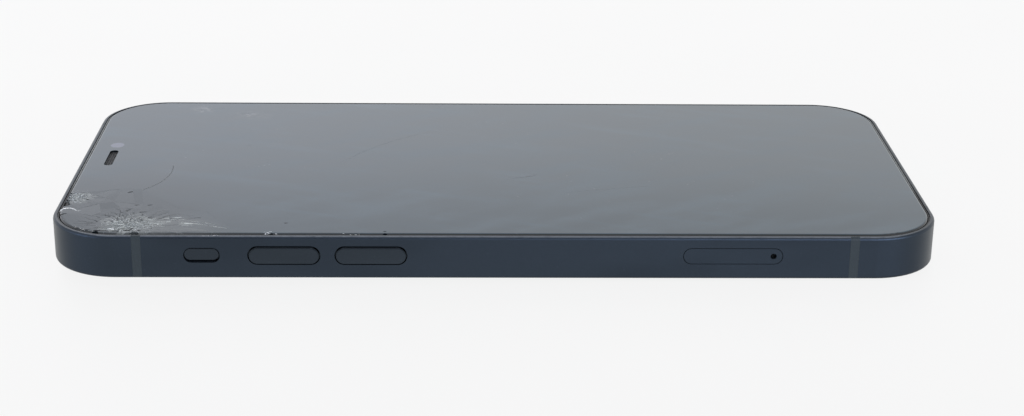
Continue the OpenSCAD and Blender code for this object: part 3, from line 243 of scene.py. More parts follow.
class Shader:
    """A material with one Principled shader, and short calls that add the nodes before it."""

    def __init__(self, name, **values):
        self.material = bpy.data.materials.new(name)
        self.material.use_nodes = True
        self.tree = self.material.node_tree
        self.shader = next(n for n in self.tree.nodes if n.type == "BSDF_PRINCIPLED")
        for key, value in values.items():
            self.set(key, value)

    def set(self, key, value):
        feed(self.tree, self.shader.inputs[key.replace("_", " ")], value)

    def add(self, kind, links=(), **settings):
        return node(self.tree, kind, links, **settings)

    def place(self, stretch=(1.0, 1.0, 1.0), centre=(0.0, 0.0, 0.0), turn=0.0):
        """Object coordinates in millimetres about a centre, turned and stretched; 0 drops an axis."""
        source = self.add("ShaderNodeTexCoord").outputs["Object"]
        scale = tuple(MM / s if s else 0.0 for s in stretch)
        values = {"Vector": source, "Location": centre, "Rotation": (0.0, 0.0, turn), "Scale": scale}
        return self.add("ShaderNodeMapping", values, vector_type="TEXTURE").outputs[0]

    def noise(self, vector, scale, detail=3.0, roughness=0.5):
        values = {"Vector": vector, "Scale": scale, "Detail": detail, "Roughness": roughness}
        return self.add("ShaderNodeTexNoise", values).outputs["Fac"]

    def cells(self, vector, scale):
        values = {"Vector": vector, "Scale": scale}
        return self.add("ShaderNodeTexVoronoi", values, feature="F1").outputs["Distance"]

    def fit(self, value, low, high, to_low=0.0, to_high=1.0):
        """A value between two limits mapped to another range, smoothly."""
        return ramp(self.tree, value, low, high, to_low, to_high)

    def math(self, operation, a, b=0.0):
        return self.add("ShaderNodeMath", {0: a, 1: b}, operation=operation).outputs[0]

    def sum(self, a, b):
        return self.math("ADD", a, b)

    def times(self, a, b):
        return self.math("MULTIPLY", a, b)

    def from_centre(self, stretch, centre, turn=0.0):
        """Distance from a centre in metres, level, in millimetres times the stretch."""
        vector = self.place((*stretch, 0.0), (*centre, 0.0), turn)
        return self.add("ShaderNodeVectorMath", {0: vector}, operation="LENGTH").outputs["Value"]

    def parts(self, vector):
        return self.add("ShaderNodeSeparateXYZ", {0: vector}).outputs

    def facing(self):
        """The X, Y and Z shares of the direction that the surface faces."""
        return self.parts(self.add("ShaderNodeNewGeometry").outputs["Normal"])

    def attribute(self, name):
        return self.add("ShaderNodeAttribute", attribute_name=name).outputs["Fac"]

    def mix(self, factor, a, b):
        return self.add("ShaderNodeMix", {0: factor, 6: a, 7: b}, data_type="RGBA").outputs[2]

    def shades(self, grain, base, dark, light, low=0.3, high=0.7):
        """A colour that goes from a darker to a lighter share of its base as the grain rises."""
        return self.mix(self.fit(grain, low, high), scaled(base, dark), scaled(base, light))

    def bump(self, height, strength, depth):
        """A bump of a depth in metres, set as the shader's normal."""
        values = {"Height": height, "Strength": strength, "Distance": depth}
        self.set("Normal", self.add("ShaderNodeBump", values).outputs[0])

    def grained(self, grain, colour, roughness, relief=()):
        """Sets a colour, and a roughness and relief that follow the grain; returns the material."""
        self.set("Base Color", colour)
        self.set("Roughness", self.fit(grain, 0.3, 0.7, *roughness))
        if relief:
            self.bump(grain, *relief)
        return self.material


def scaled(value, factor):
    return tuple(min(1.0, c * factor) for c in value)


# ---------------------------------------------------------------- finishes

def front_share(m, start, end):
    """One along the buttons' side of the phone, falling to nothing towards its middle."""
    return m.fit(m.parts(m.place())["Y"], start, end)


def band_finish(name, base, roughness):
    """Blasted and anodised metal with a fine grain, pale rubbed patches and paler lips; a painted highlight
    along the rounded top edge; and painted shade on a duller lip by the buttons.
    """
    m = Shader(name, Metallic=1.0, Specular_Tint=(1.0, 1.0, 0.98))
    fine = m.noise(m.place(), 9.0, 4.0, 0.6)
    cloud = m.noise(m.place((0.35, 1.0, 1.0)), 0.09, 2.0)
    tint = m.shades(cloud, base, 0.88, 1.12, 0.35, 0.65)
    grain = m.shades(fine, base, 0.86, 1.14)
    both = m.mix(m.fit(cloud, 0.3, 0.7, 0.35, 0.65), tint, grain)
    rubbed_and_highlight = m.noise(m.place((1.0, 1.0, 2.0)), 0.9, 5.0, 0.7)
    both = m.mix(m.fit(rubbed_and_highlight, 0.62, 0.80, 0.0, 0.35), both, scaled(base, 2.2))
    way = m.facing()
    # Painted highlight: a pale line along the rounded top edge where it faces partly up, kept off the ends
    # and broken up by the rubbed noise
    painted_edge_highlight = m.times(m.fit(way["Z"], 0.66, 0.84), m.fit(way["Z"], 0.995, 0.96))
    painted_edge_highlight = m.times(painted_edge_highlight, m.fit(m.math("ABSOLUTE", way["X"]), 0.25, 0.10))
    painted_edge_highlight = m.times(painted_edge_highlight, m.fit(rubbed_and_highlight, 0.3, 0.6, 0.55, 1.0))
    # Painted shade: the flat lip on the buttons' side is darkened, and made less metallic
    dull_shaded_lip = m.times(front_share(m, -10.0, -32.0), m.fit(way["Z"], 0.90, 0.98))
    both = m.mix(dull_shaded_lip, both, scaled(base, 0.6))
    m.set("Base Color", m.mix(painted_edge_highlight, both, (0.135, 0.150, 0.175)))
    m.set("Metallic", m.fit(dull_shaded_lip, 0.0, 1.0, 1.0, 0.2))
    uneven = m.sum(fine, m.times(cloud, 0.6))
    m.set("Roughness", m.fit(uneven, 0.4, 1.2, roughness - 0.05, roughness + 0.07))
    m.bump(fine, 0.25, 0.004 * MM)
    return m.material


def strip_finish():
    """Satin moulded plastic set flush in the band."""
    m = Shader("band_strip_plastic", Roughness=0.42, Specular_IOR_Level=0.25)
    grain = m.noise(m.place(), 7.0, 4.0)
    return m.grained(grain, m.shades(grain, finish().strip, 0.85, 1.15), (0.38, 0.48), (0.2, 0.003 * MM))


def rim_finish():
    """Soft black elastomer with lint and dust along it, painted pale grey away from the buttons' side as
    painted light.
    """
    m = Shader("rim_elastomer", Roughness=0.5)
    dust = m.noise(m.place(), 2.6, 6.0, 0.75)
    # Painted light: the rim is painted pale grey away from the buttons' side, and black along it
    painted_light_tone = m.mix(front_share(m, -6.0, -18.0), (0.19, 0.205, 0.205), finish().rim)
    dust_over_painted_light = m.mix(m.fit(dust, 0.58, 0.78, 0.0, 0.5), painted_light_tone, (0.06, 0.06, 0.06))
    return m.grained(dust, dust_over_painted_light, (0.38, 0.62), (0.3, 0.01 * MM))


def fan_of_streaks(m):
    """How milky the glass is in the fan of cracks that runs from the impact along the edge."""
    away = m.parts(m.place((1.0, 1.0, 0.0), (*IMPACT, 0.0)))
    along, across = away["X"], away["Y"]
    angle = m.times(m.math("ARCTAN2", across, along), 13.0)
    reach = m.times(m.from_centre((1.0, 1.0), IMPACT), 0.15)
    rays = m.add("ShaderNodeCombineXYZ", {"X": angle, "Y": reach}).outputs[0]
    streaks = m.fit(m.noise(rays, 1.0, 3.0, 0.55), 0.50, 0.70, 0.0, 0.26)
    far_side = m.sum(across, m.times(m.math("POWER", along, 3.0), 0.00105))
    inside = m.times(m.fit(far_side, 4.8, 3.0), m.fit(along, 1.0, 4.5))
    inside = m.times(inside, m.fit(along, 18.0, 12.0))
    return m.times(inside, m.sum(streaks, 0.10))


def haze_of_damage(m, strength):
    """How milky the glass is about the two points of impact and in the fan."""
    near = m.from_centre((0.62, 1.0), (IMPACT.x + 3.0 * MM, IMPACT.y))
    end = m.from_centre((1.0, 0.8), END_CRUSH)
    radial = m.noise(m.place((0.45, 2.4, 0.0), (*IMPACT, 0.0), 0.18), 0.8, 5.0, 0.65)
    haze = m.times(m.fit(near, 8.5, 2.0), m.fit(radial, 0.35, 0.75, 0.35, 1.0))
    haze = m.times(m.sum(haze, m.fit(end, 4.4, 1.5, 0.0, 0.35)), strength)
    return m.sum(haze, fan_of_streaks(m))


def glass_looks(m, haze_strength):
    """Colour and roughness of dark glossy glass with smears, dust and prints, and a haze of damage; with
    painted shade towards the struck corner and on the rounded edge, and a pale patch, partly a painted
    highlight, over the camera window.
    """
    base = finish().screen
    smear = m.noise(m.place((0.5, 1.6, 1.0), turn=0.5), 0.10, 4.0, 0.6)
    wipe = m.noise(m.place((0.25, 2.2, 1.0), turn=-0.35), 0.16, 3.0, 0.55)
    dust_over_painted_light = m.noise(m.place(), 0.07, 3.0)
    dust = m.times(m.fit(m.cells(m.place(), 0.55), 0.10, 0.045), m.fit(dust_over_painted_light, 0.52, 0.68))
    film = m.mix(m.fit(smear, 0.42, 0.72), base, scaled(base, 1.35))
    film = m.mix(m.fit(wipe, 0.5, 0.75, 0.0, 0.6), film, scaled(base, 1.6))
    film = m.mix(dust, film, (0.11, 0.12, 0.13))
    # Painted shade: the glass darkens towards the struck corner
    film = m.mix(m.fit(m.from_centre((1.0, 1.0), STRUCK_CORNER), 34.0, 8.0), film, scaled(base, 0.6))
    # Painted shade on the rounded edge of the glass, wherever it turns away from straight up
    film = m.mix(m.fit(m.facing()["Z"], 0.985, 0.85), film, scaled(base, 0.15))
    prints = [m.from_centre(size, Vector(middle) * MM, turn) for middle, size, turn in PRINTS]
    printed = m.sum(*(m.fit(far, 1.0, 0.2) for far in prints))
    greasy = m.fit(m.noise(m.place((1.0, 1.6, 1.0)), 0.75, 4.0, 0.65), 0.44, 0.66)
    film = m.mix(m.times(printed, greasy), film, (0.098, 0.112, 0.126))
    # A pale patch over the front camera's clear window: partly the window's own look, partly a painted
    # highlight
    window = m.from_centre((1.0, 0.92), ((WINDOW_LOW + WINDOW_HIGH) / 2).xy)
    film = m.mix(m.fit(window, 1.32, 1.08), film, (0.105, 0.118, 0.165))
    haze = haze_of_damage(m, haze_strength)
    plain = finish().glass_roughness
    rough = m.sum(m.fit(smear, 0.35, 0.75, plain, plain + 0.10), m.times(haze, 0.25))
    return m.mix(haze, film, scaled(finish().frost, 0.30)), rough


def screen_glass():
    """Cover glass over the switched-off display, with a pale patch over the front camera's clear window
    that is partly a painted highlight.
    """
    m = Shader("screen_glass", IOR=1.52, Specular_IOR_Level=0.5)
    colour_of, rough = glass_looks(m, 0.20)
    m.set("Base Color", colour_of)
    m.set("Roughness", rough)
    m.bump(m.noise(m.place(), 0.035, 1.0), 0.06, 0.05 * MM)
    return m.material


def shard_glass():
    """The same glass in the broken corner, whiter where it is crushed."""
    m = Shader("shard_glass", IOR=1.52, Specular_IOR_Level=0.475)
    clean, rough = glass_looks(m, 0.22)
    frost = m.attribute("frost")
    cracks = m.noise(m.place(), 3.0, 6.0, 0.7)
    milk = m.times(frost, m.fit(cracks, 0.25, 0.75, 0.4, 1.1))
    m.set("Base Color", m.mix(milk, clean, finish().frost))
    m.set("Roughness", m.sum(rough, m.times(frost, 0.35)))
    m.bump(cracks, 0.25, 0.02 * MM)
    return m.material


def broken_face():
    """Fresh broken faces of glass: ribbed, pale and glinting."""
    m = Shader("broken_glass_face", IOR=1.52, Transmission_Weight=0.25)
    ribs = m.noise(m.place((1.0, 1.0, 3.0)), 3.5, 5.0, 0.7)
    tone = m.times(m.fit(ribs, 0.3, 0.7, 0.2, 0.85), m.fit(m.attribute("frost"), 0.0, 1.0, 0.30, 1.0))
    pale = m.mix(tone, (0.06, 0.068, 0.072), scaled(finish().frost, 1.5))
    return m.grained(ribs, pale, (0.08, 0.4), (0.5, 0.03 * MM))


def crushed_finish():
    """Grains of crushed glass, from nearly clear to white; the whitest are partly painted glints."""
    m = Shader("crushed_glass_grain", IOR=1.5, Roughness=0.25)
    grain = m.noise(m.place(), 6.0, 3.0)
    tone = m.times(m.attribute("whiteness"), m.fit(grain, 0.3, 0.7, 0.7, 1.1))
    return m.grained(grain, m.mix(tone, (0.13, 0.145, 0.15), (0.90, 0.92, 0.91)), (0.12, 0.45))


def streak_finish():
    """Frosted cracks under the surface, seen as pale streaks."""
    m = Shader("frosted_crack", IOR=1.5)
    grain = m.noise(m.place(), 1.8, 5.0, 0.7)
    pale = m.shades(grain, finish().frost, 0.35, 1.1, 0.35, 0.6)
    return m.grained(grain, pale, (0.2, 0.5), (0.4, 0.02 * MM))


def line_finish(name, dark, light, roughness, **values):
    """The line of a crack or a scratch, uneven along its length."""
    m = Shader(name, **values)
    grain = m.noise(m.place(), 3.0, 4.0)
    return m.grained(grain, m.mix(m.fit(grain, 0.3, 0.7), dark, light), roughness)


def dark_crack_finish():
    """The dark line of an open crack."""
    dark, light = (0.006, 0.006, 0.007), (0.03, 0.032, 0.034)
    return line_finish("dark_crack", dark, light, (0.5, 0.8), IOR=1.3, Specular_IOR_Level=0.15)


def scratch_finish():
    """The faint line of a shallow scratch, and of the closed long crack."""
    dark, light = (0.03, 0.034, 0.04), (0.10, 0.11, 0.12)
    return line_finish("shallow_scratch", dark, light, (0.3, 0.5), IOR=1.45, Specular_IOR_Level=0.35)


def back_glass_finish():
    """Glossy back glass over dark blue paint, with light handling marks."""
    m = Shader("back_glass_gloss", IOR=1.52)
    smear = m.noise(m.place((0.6, 1.5, 1.0), turn=0.9), 0.12, 4.0, 0.6)
    specks = m.fit(m.cells(m.place(), 0.45), 0.08, 0.04)
    base = finish().back
    film = m.mix(m.fit(smear, 0.4, 0.75), base, scaled(base, 1.6))
    m.set("Base Color", m.mix(m.times(specks, 0.5), film, (0.14, 0.15, 0.16)))
    m.set("Roughness", m.fit(smear, 0.35, 0.75, 0.03, 0.12))
    return m.material


def island_finish():
    """Satin etched glass of the camera island."""
    m = Shader("island_satin_glass", IOR=1.5)
    etch = m.noise(m.place(), 11.0, 3.0, 0.6)
    satin = m.shades(etch, scaled(finish().back, 1.25), 0.9, 1.15)
    return m.grained(etch, satin, (0.34, 0.44), (0.2, 0.003 * MM))


def polished_finish():
    """Polished and anodised metal of the lens rings, with fine turning marks."""
    m = Shader("lens_ring_metal", Metallic=1.0)
    turned = m.noise(m.place(), 5.0, 3.0)
    return m.grained(turned, m.shades(turned, finish().ring, 0.9, 1.2), (0.12, 0.22))


def lens_finish(name, tint):
    """Coated lens glass: dark, with a coloured sheen."""
    m = Shader(name, IOR=1.6, Coat_Weight=1.0, Coat_Roughness=0.02, Roughness=0.06)
    m.set("Base Color", m.shades(m.noise(m.place(), 0.6, 2.0), tint, 0.6, 1.0))
    return m.material


def flash_finish():
    """Clear moulded diffuser over a yellow phosphor."""
    m = Shader("flash_diffuser", IOR=1.5, Coat_Weight=0.8, Coat_Roughness=0.05)
    cells = m.cells(m.place(), 2.2)
    m.set("Base Color", m.mix(m.fit(cells, 0.1, 0.6), (0.80, 0.72, 0.42), (0.88, 0.86, 0.76)))
    m.set("Roughness", m.fit(cells, 0.1, 0.6, 0.15, 0.35))
    m.bump(cells, 0.6, 0.05 * MM)
    return m.material


def plastic_finish(name, base, roughness, grain_scale=6.0):
    """Fine-grained moulded plastic or film."""
    m = Shader(name)
    grain = m.noise(m.place(), grain_scale, 5.0, 0.6)
    both = m.sum(m.times(grain, 0.6), m.times(m.noise(m.place(), 0.25, 2.0), 0.4))
    m.bump(grain, 0.25, 0.006 * MM)
    return m.grained(both, m.shades(both, base, 0.8, 1.2), (roughness - 0.06, roughness + 0.08))


def metal_finish(name, base, roughness, stretch=(0.08, 1.0, 1.0)):
    """Rolled or brushed metal with a grain along one axis."""
    m = Shader(name, Metallic=1.0)
    brushed = m.noise(m.place(stretch), 9.0, 4.0, 0.6)
    shades = m.shades(brushed, base, 0.82, 1.1)
    return m.grained(brushed, shades, (roughness - 0.05, roughness + 0.09), (0.15, 0.004 * MM))


def woven_finish():
    """Fine woven screen behind the sound holes and in the earpiece slot."""
    m = Shader("woven_screen", Metallic=0.6, Roughness=0.5)
    weave = m.cells(m.place(), 9.0)
    m.set("Base Color", m.mix(m.fit(weave, 0.1, 0.5), (0.07, 0.075, 0.08), (0.012, 0.013, 0.014)))
    m.bump(weave, 0.8, 0.05 * MM)
    return m.material


def bare_metal_finish():
    """Bare bright metal where the anodising is knocked off."""
    m = Shader("bare_metal_nick", Metallic=1.0)
    dents = m.noise(m.place(), 4.0, 5.0, 0.7)
    bright = m.mix(m.fit(dents, 0.35, 0.65), (0.20, 0.22, 0.25), (0.80, 0.81, 0.82))
    return m.grained(dents, bright, (0.2, 0.45), (0.5, 0.03 * MM))


FINISHES = {
    "band_metal": lambda: band_finish("band_anodised", finish().band, finish().band_roughness),
    "button_metal": lambda: band_finish("button_anodised", finish().button, finish().band_roughness + 0.02),
    "band_plastic": strip_finish,
    "rim_rubber": rim_finish,
    "cover_glass": screen_glass,
    "broken_glass": shard_glass,
    "back_glass": back_glass_finish,
    "island_glass": island_finish,
    "ring_metal": polished_finish,
    "lens_glass": lambda: lens_finish("window_coated", (0.030, 0.034, 0.045)),
    "flash_lens": flash_finish,
    "flash_phosphor": lambda: plastic_finish("phosphor", (0.75, 0.60, 0.18), 0.7),
    "black_film": lambda: plastic_finish("glue_film", (0.02, 0.02, 0.02), 0.6),
    "black_plastic": lambda: plastic_finish("black_moulding", (0.018, 0.018, 0.019), 0.45),
    "display_black": lambda: plastic_finish("display_layers", (0.008, 0.008, 0.009), 0.2),
    "mesh_black": woven_finish,
    "flat_cable": lambda: plastic_finish("amber_film", (0.36, 0.19, 0.05), 0.3, 2.0),
    "battery_pouch": lambda: plastic_finish("pouch_film", (0.02, 0.02, 0.022), 0.4, 1.5),
    "board_green": lambda: plastic_finish("solder_mask", (0.01, 0.09, 0.09), 0.35, 3.0),
    "graphite": lambda: plastic_finish("graphite_sheet", (0.05, 0.05, 0.055), 0.5, 2.0),
    "card_plastic": lambda: plastic_finish("white_card", (0.80, 0.80, 0.78), 0.4),
    "steel": lambda: metal_finish("thin_steel", (0.56, 0.57, 0.58), 0.28),
    "screw_metal": lambda: metal_finish("screw_blue_metal", (0.06, 0.08, 0.11), 0.3, (1.0, 1.0, 1.0)),
    "copper": lambda: metal_finish("flat_copper", (0.80, 0.42, 0.24), 0.3, (1.0, 1.0, 1.0)),
    "magnet": lambda: metal_finish("plated_magnet", (0.62, 0.61, 0.58), 0.18, (1.0, 1.0, 1.0)),
    "gold": lambda: metal_finish("gold_plate", (0.85, 0.62, 0.28), 0.22),
    "baffle": lambda: plastic_finish("lens_baffle", (0.010, 0.010, 0.011), 0.55),
    "lens_coating": lambda: lens_finish("lens_coating", (0.050, 0.020, 0.085)),
    "crushed": crushed_finish,
    "streak": streak_finish,
    "dark_crack": dark_crack_finish,
    "scratch": scratch_finish,
}
_made = {}


def finish_of(slot):
    """The material of a record slot, made once."""
    if slot not in _made:
        _made[slot] = FINISHES[slot]()
    return _made[slot]


SLOT_OF = {row["node"]: row["material_slot"] for row in frame["record"]["subparts"]}


def dress(*nodes):
    """Gives CAD nodes the finish of their slot."""
    for name in nodes:
        made = frame["nodes"][name]
        material = finish_of(SLOT_OF[name])
        made.data.materials.clear()
        made.data.materials.append(material)


# ---------------------------------------------------------------- mesh helpers

def mesh_object(name, bm, materials):
    """A new object from a bmesh that is already in place."""
    mesh = bpy.data.meshes.new(name)
    bm.normal_update()
    bm.to_mesh(mesh)
    bm.free()
    for material in materials:
        mesh.materials.append(material)
    return link(name, mesh)


def link(name, data):
    """A new object in the scene."""
    made = bpy.data.objects.new(name, data)
    bpy.context.scene.collection.objects.link(made)
    return made


def seat_on(made, body, slot, *replaced):
    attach(made, body)
    if replaced:
        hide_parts(*replaced)
    return made


def new_tree(name, inputs):
    """A geometry node tree with a geometry input, named number inputs and a geometry output."""
    tree = bpy.data.node_groups.new(name, "GeometryNodeTree")
    tree.interface.new_socket("Geometry", in_out="INPUT", socket_type="NodeSocketGeometry")
    for label, kind in inputs:
        tree.interface.new_socket(label, in_out="INPUT", socket_type=kind)
    tree.interface.new_socket("Geometry", in_out="OUTPUT", socket_type="NodeSocketGeometry")
    return tree, tree.nodes.new("NodeGroupInput"), tree.nodes.new("NodeGroupOutput")


def close_tree(tree, out, geometry, material):
    """Ends a tree in Realize Instances and Set Material."""
    real = node(tree, "GeometryNodeRealizeInstances", {"Geometry": geometry})
    painted = node(tree, "GeometryNodeSetMaterial", {"Geometry": real.outputs[0], "Material": material})
    tree.links.new(painted.outputs[0], out.inputs[0])


def grow(base, tree, values, name):
    """Runs a tree on an object and returns the result as a plain mesh object."""
    modifier = base.modifiers.new(tree.name, "NODES")
    modifier.node_group = tree
    for item in tree.interface.items_tree:
        if item.item_type == "SOCKET" and item.in_out == "INPUT" and item.name in values:
            modifier[item.identifier] = values[item.name]
    graph = bpy.context.evaluated_depsgraph_get()
    mesh = bpy.data.meshes.new_from_object(base.evaluated_get(graph))
    base.modifiers.remove(modifier)
    bpy.data.objects.remove(base)
    mesh.name = name
    return link(name, mesh)


def ribbon_tree(name, material):
    """Ribbons with a low ridge, along polylines whose points carry a width."""
    inputs = [("Ribbon width", "NodeSocketFloat"), ("Ribbon height", "NodeSocketFloat")]
    tree, start, end = new_tree(name, inputs)
    curve = node(tree, "GeometryNodeMeshToCurve", {"Mesh": start.outputs["Geometry"]})
    width = node(tree, "GeometryNodeInputNamedAttribute", {"Name": "width"}, data_type="FLOAT")
    widths = {"Curve": curve.outputs[0], "Radius": width.outputs[0]}
    radius = node(tree, "GeometryNodeSetCurveRadius", widths)
    ring = {"Resolution": 4, "Radius": 0.5}
    profile = node(tree, "GeometryNodeCurvePrimitiveCircle", ring, mode="RADIUS")
    sides = {"X": start.outputs["Ribbon width"], "Y": start.outputs["Ribbon height"]}
    size = node(tree, "ShaderNodeCombineXYZ", sides)
    flat = node(tree, "GeometryNodeTransform", {"Geometry": profile.outputs[0], "Scale": size.outputs[0]})
    sweep = {"Curve": radius.outputs[0], "Profile Curve": flat.outputs[0], "Fill Caps": True}
    swept = node(tree, "GeometryNodeCurveToMesh", sweep)
    if "Scale" in swept.inputs:
        tree.links.new(width.outputs[0], swept.inputs["Scale"])
    close_tree(tree, end, swept.outputs[0], material)
    return tree


def polylines(name, paths):
    """A mesh of polylines; each path is a list of (x, y, z, width share)."""
    mesh = bpy.data.meshes.new(name)
    points, edges, widths = [], [], []
    for path in paths:
        first = len(points)
        points += [p[:3] for p in path]
        widths += [p[3] for p in path]
        edges += [(first + i, first + i + 1) for i in range(len(path) - 1)]
    mesh.from_pydata(points, edges, [])
    mesh.attributes.new("width", "FLOAT", "POINT").data.foreach_set("value", widths)
    return link(name, mesh)


def ribbons(name, paths, slot, width, height):
    """Ribbons of a finish along polylines, as one piece of the handset."""
    base = polylines(name + "_lines", paths)
    values = {"Ribbon width": width, "Ribbon height": height}
    made = grow(base, ribbon_tree(name, finish_of(slot)), values, name)
    seat_on(made, "handset", "broken_glass")


def grain_tree(name, material):
    """Small angular grains scattered over a surface, denser where its density attribute is high."""
    floats = [("Density", "NodeSocketFloat"), ("Grain size", "NodeSocketFloat")]
    tree, start, end = new_tree(name, floats + [("Seed", "NodeSocketInt")])
    share_of = node(tree, "GeometryNodeInputNamedAttribute", {"Name": "density"}, data_type="FLOAT")
    factors = {0: share_of.outputs[0], 1: start.outputs["Density"]}
    density = node(tree, "ShaderNodeMath", factors, operation="MULTIPLY")
    scatter = {"Mesh": start.outputs["Geometry"], "Density": density.outputs[0]}
    scatter["Seed"] = start.outputs["Seed"]
    points = node(tree, "GeometryNodeDistributePointsOnFaces", scatter)
    grain = node(tree, "GeometryNodeMeshIcoSphere", {"Radius": 0.5, "Subdivisions": 1})
    turns = {"Min": (0.0, 0.0, 0.0), "Max": (math.tau, math.tau, math.tau), "Seed": 3}
    turn = node(tree, "FunctionNodeRandomValue", turns, data_type="FLOAT_VECTOR")
    sizes = {"Min": (0.25, 0.2, 0.12), "Max": (1.0, 0.7, 0.4), "Seed": 5}
    spread = node(tree, "FunctionNodeRandomValue", sizes, data_type="FLOAT_VECTOR")
    factors = {0: spread.outputs["Value"], "Scale": start.outputs["Grain size"]}
    size = node(tree, "ShaderNodeVectorMath", factors, operation="SCALE")
    grains = {
        "Points": points.outputs["Points"],
        "Instance": grain.outputs["Mesh"],
        "Rotation": turn.outputs["Value"],
        "Scale": size.outputs["Vector"],
    }
    placed = node(tree, "GeometryNodeInstanceOnPoints", grains)
    # Each grain's whiteness: partly the crushed glass's own frosting, partly painted glint
    white = node(tree, "FunctionNodeRandomValue", {"Seed": 9}, data_type="FLOAT")
    sharper = node(tree, "ShaderNodeMath", {0: white.outputs[1], 1: 1.7}, operation="POWER")
    mark = {"Geometry": placed.outputs[0], "Name": "whiteness", "Value": sharper.outputs[0]}
    marked = node(tree, "GeometryNodeStoreNamedAttribute", mark, data_type="FLOAT", domain="INSTANCE")
    close_tree(tree, end, marked.outputs[0], material)
    return tree


def glass_top(x, y):
    """Height of the cover glass's upper face, which rounds off along its edge."""
    inner_x = max(0.0, abs(x) - (GLASS_HIGH.x - GLASS_CORNER_R))
    inner_y = max(0.0, abs(y) - (GLASS_HIGH.y - GLASS_CORNER_R))
    if inner_x > 0.0 and inner_y > 0.0:
        inside = GLASS_CORNER_R - math.hypot(inner_x, inner_y)
    else:
        inside = min(GLASS_HIGH.x - abs(x), GLASS_HIGH.y - abs(y))
    short = max(0.0, GLASS_ROUND - max(0.0, inside))
    return GLASS_TOP - GLASS_ROUND + math.sqrt(max(0.0, GLASS_ROUND**2 - short**2))


# ---------------------------------------------------------------- broken glass

# How far loose fragments tip and sink
TIP_SPREAD = math.radians(3.2)
SINK_SPREAD = 0.05 * MM


def swell(bm, width):
    """Moves the upright broken walls of a fragment outwards, which closes the gap round it."""
    moves = []
    for v in bm.verts:
        walls = []
        for f in v.link_faces:
            if abs(f.normal.z) < 0.02 and not on_outline(f):
                flat = Vector((f.normal.x, f.normal.y)).normalized()
                if all(flat.dot(w) < 0.99 for w in walls):
                    walls.append(flat)
        if len(walls) == 1:
            moves.append((v, walls[0] * width))
        elif len(walls) >= 2:
            a, b = walls[:2]
            det = a.x * b.y - a.y * b.x
            if abs(det) > 0.15:
                moves.append((v, Vector(((b.y - a.y) * width / det, (a.x - b.x) * width / det))))
    for v, move in moves:
        v.co += Vector((move.x, move.y, 0.0))
    bm.normal_update()


def on_outline(face):
    """True for a face on the glass's own outer edge."""
    middle = face.calc_center_median()
    return glass_top(middle.x, middle.y) < GLASS_TOP - 0.45 * GLASS_ROUND


def merged_copy(cad):
    """A CAD node's mesh with its loose triangles joined."""
    bm = bmesh.new()
    bm.from_mesh(cad.data)
    bmesh.ops.remove_doubles(bm, verts=bm.verts, dist=1e-7)
    bmesh.ops.dissolve_limit(bm, angle_limit=math.radians(0.5), verts=bm.verts, edges=bm.edges)
    return bm


def shells(bm):
    """Splits a bmesh into one bmesh for each separate closed shell, and frees it."""
    bm.verts.index_update()
    seen, found = set(), []
    for start in bm.verts:
        if start.index in seen:
            continue
        stack, shell = [start], []
        seen.add(start.index)
        while stack:
            v = stack.pop()
            shell.append(v)
            for e in v.link_edges:
                other = e.other_vert(v)
                if other.index not in seen:
                    seen.add(other.index)
                    stack.append(other)
        part = bmesh.new()
        made = {v.index: part.verts.new(v.co) for v in shell}
        for f in dict.fromkeys(f for v in shell for f in v.link_faces):
            part.faces.new([made[v.index] for v in f.verts]).smooth = True
        part.normal_update()
        found.append(part)
    bm.free()
    return found


def extent(bm):
    """Centre and lowest and highest corners of a bmesh."""
    low = Vector(map(min, *(v.co for v in bm.verts)))
    high = Vector(map(max, *(v.co for v in bm.verts)))
    return (low + high) / 2, low, high


def cut_in_two(bm, point, normal):
    """Closed meshes on both sides of an upright plane, or None if a side fails to close."""
    halves = []
    for outer in (True, False):
        half = bm.copy()
        everything = half.verts[:] + half.edges[:] + half.faces[:]
        cut = bmesh.ops.bisect_plane(
            half, geom=everything, dist=1e-8, plane_co=point, plane_no=normal,
            clear_outer=outer, clear_inner=not outer,
        )
        rim = [e for e in cut["geom_cut"] if isinstance(e, bmesh.types.BMEdge) and e.is_boundary]
        if rim:
            bmesh.ops.edgeloop_fill(half, edges=rim, mat_nr=1)
        halves.append(half)
    good = all(len(h.faces) >= 4 and all(e.is_manifold for e in h.edges) for h in halves)
    if good:
        return halves
    for half in halves:
        half.free()
    return None


def wanted_size(point, fine):
    """Size of the fragments at a point, fine where the glass was struck."""
    main = (Vector((point.x, point.y)) - IMPACT).length
    end = (Vector((point.x, point.y)) - END_CRUSH).length
    from_main = fine + max(0.0, main - 1.6 * MM) * 0.50
    from_end = fine * 0.9 + max(0.0, end - 1.4 * MM) * 0.80
    return min(from_main, from_end)


def shatter(bm, fine, rng, out, depth=0):
    """Cuts a fragment again and again, mostly along lines away from the point of impact."""
    centre, low, high = extent(bm)
    span = max(high.x - low.x, high.y - low.y)
    if span <= wanted_size(centre, fine) * rng.uniform(0.8, 1.7) or depth > 9:
        out.append(bm)
        return
    away = Vector((centre.x - IMPACT.x, centre.y - IMPACT.y))
    along = math.atan2(away.y, away.x)
    if rng.random() < 0.45:
        turn = along + math.pi / 2 + rng.gauss(0.0, 0.25)
    else:
        turn = math.atan2(high.x - low.x, -(high.y - low.y)) + rng.gauss(0.0, 0.5)
    shift_x = rng.uniform(-0.2, 0.2) * (high.x - low.x)
    shift_y = rng.uniform(-0.2, 0.2) * (high.y - low.y)
    point = centre + Vector((shift_x, shift_y, 0.0))
    lean = rng.gauss(0.0, 0.16)
    halves = cut_in_two(bm, point, Vector((math.cos(turn), math.sin(turn), lean)).normalized())
    if halves is None:
        out.append(bm)
        return
    bm.free()
    for half in halves:
        shatter(half, fine, rng, out, depth + 1)


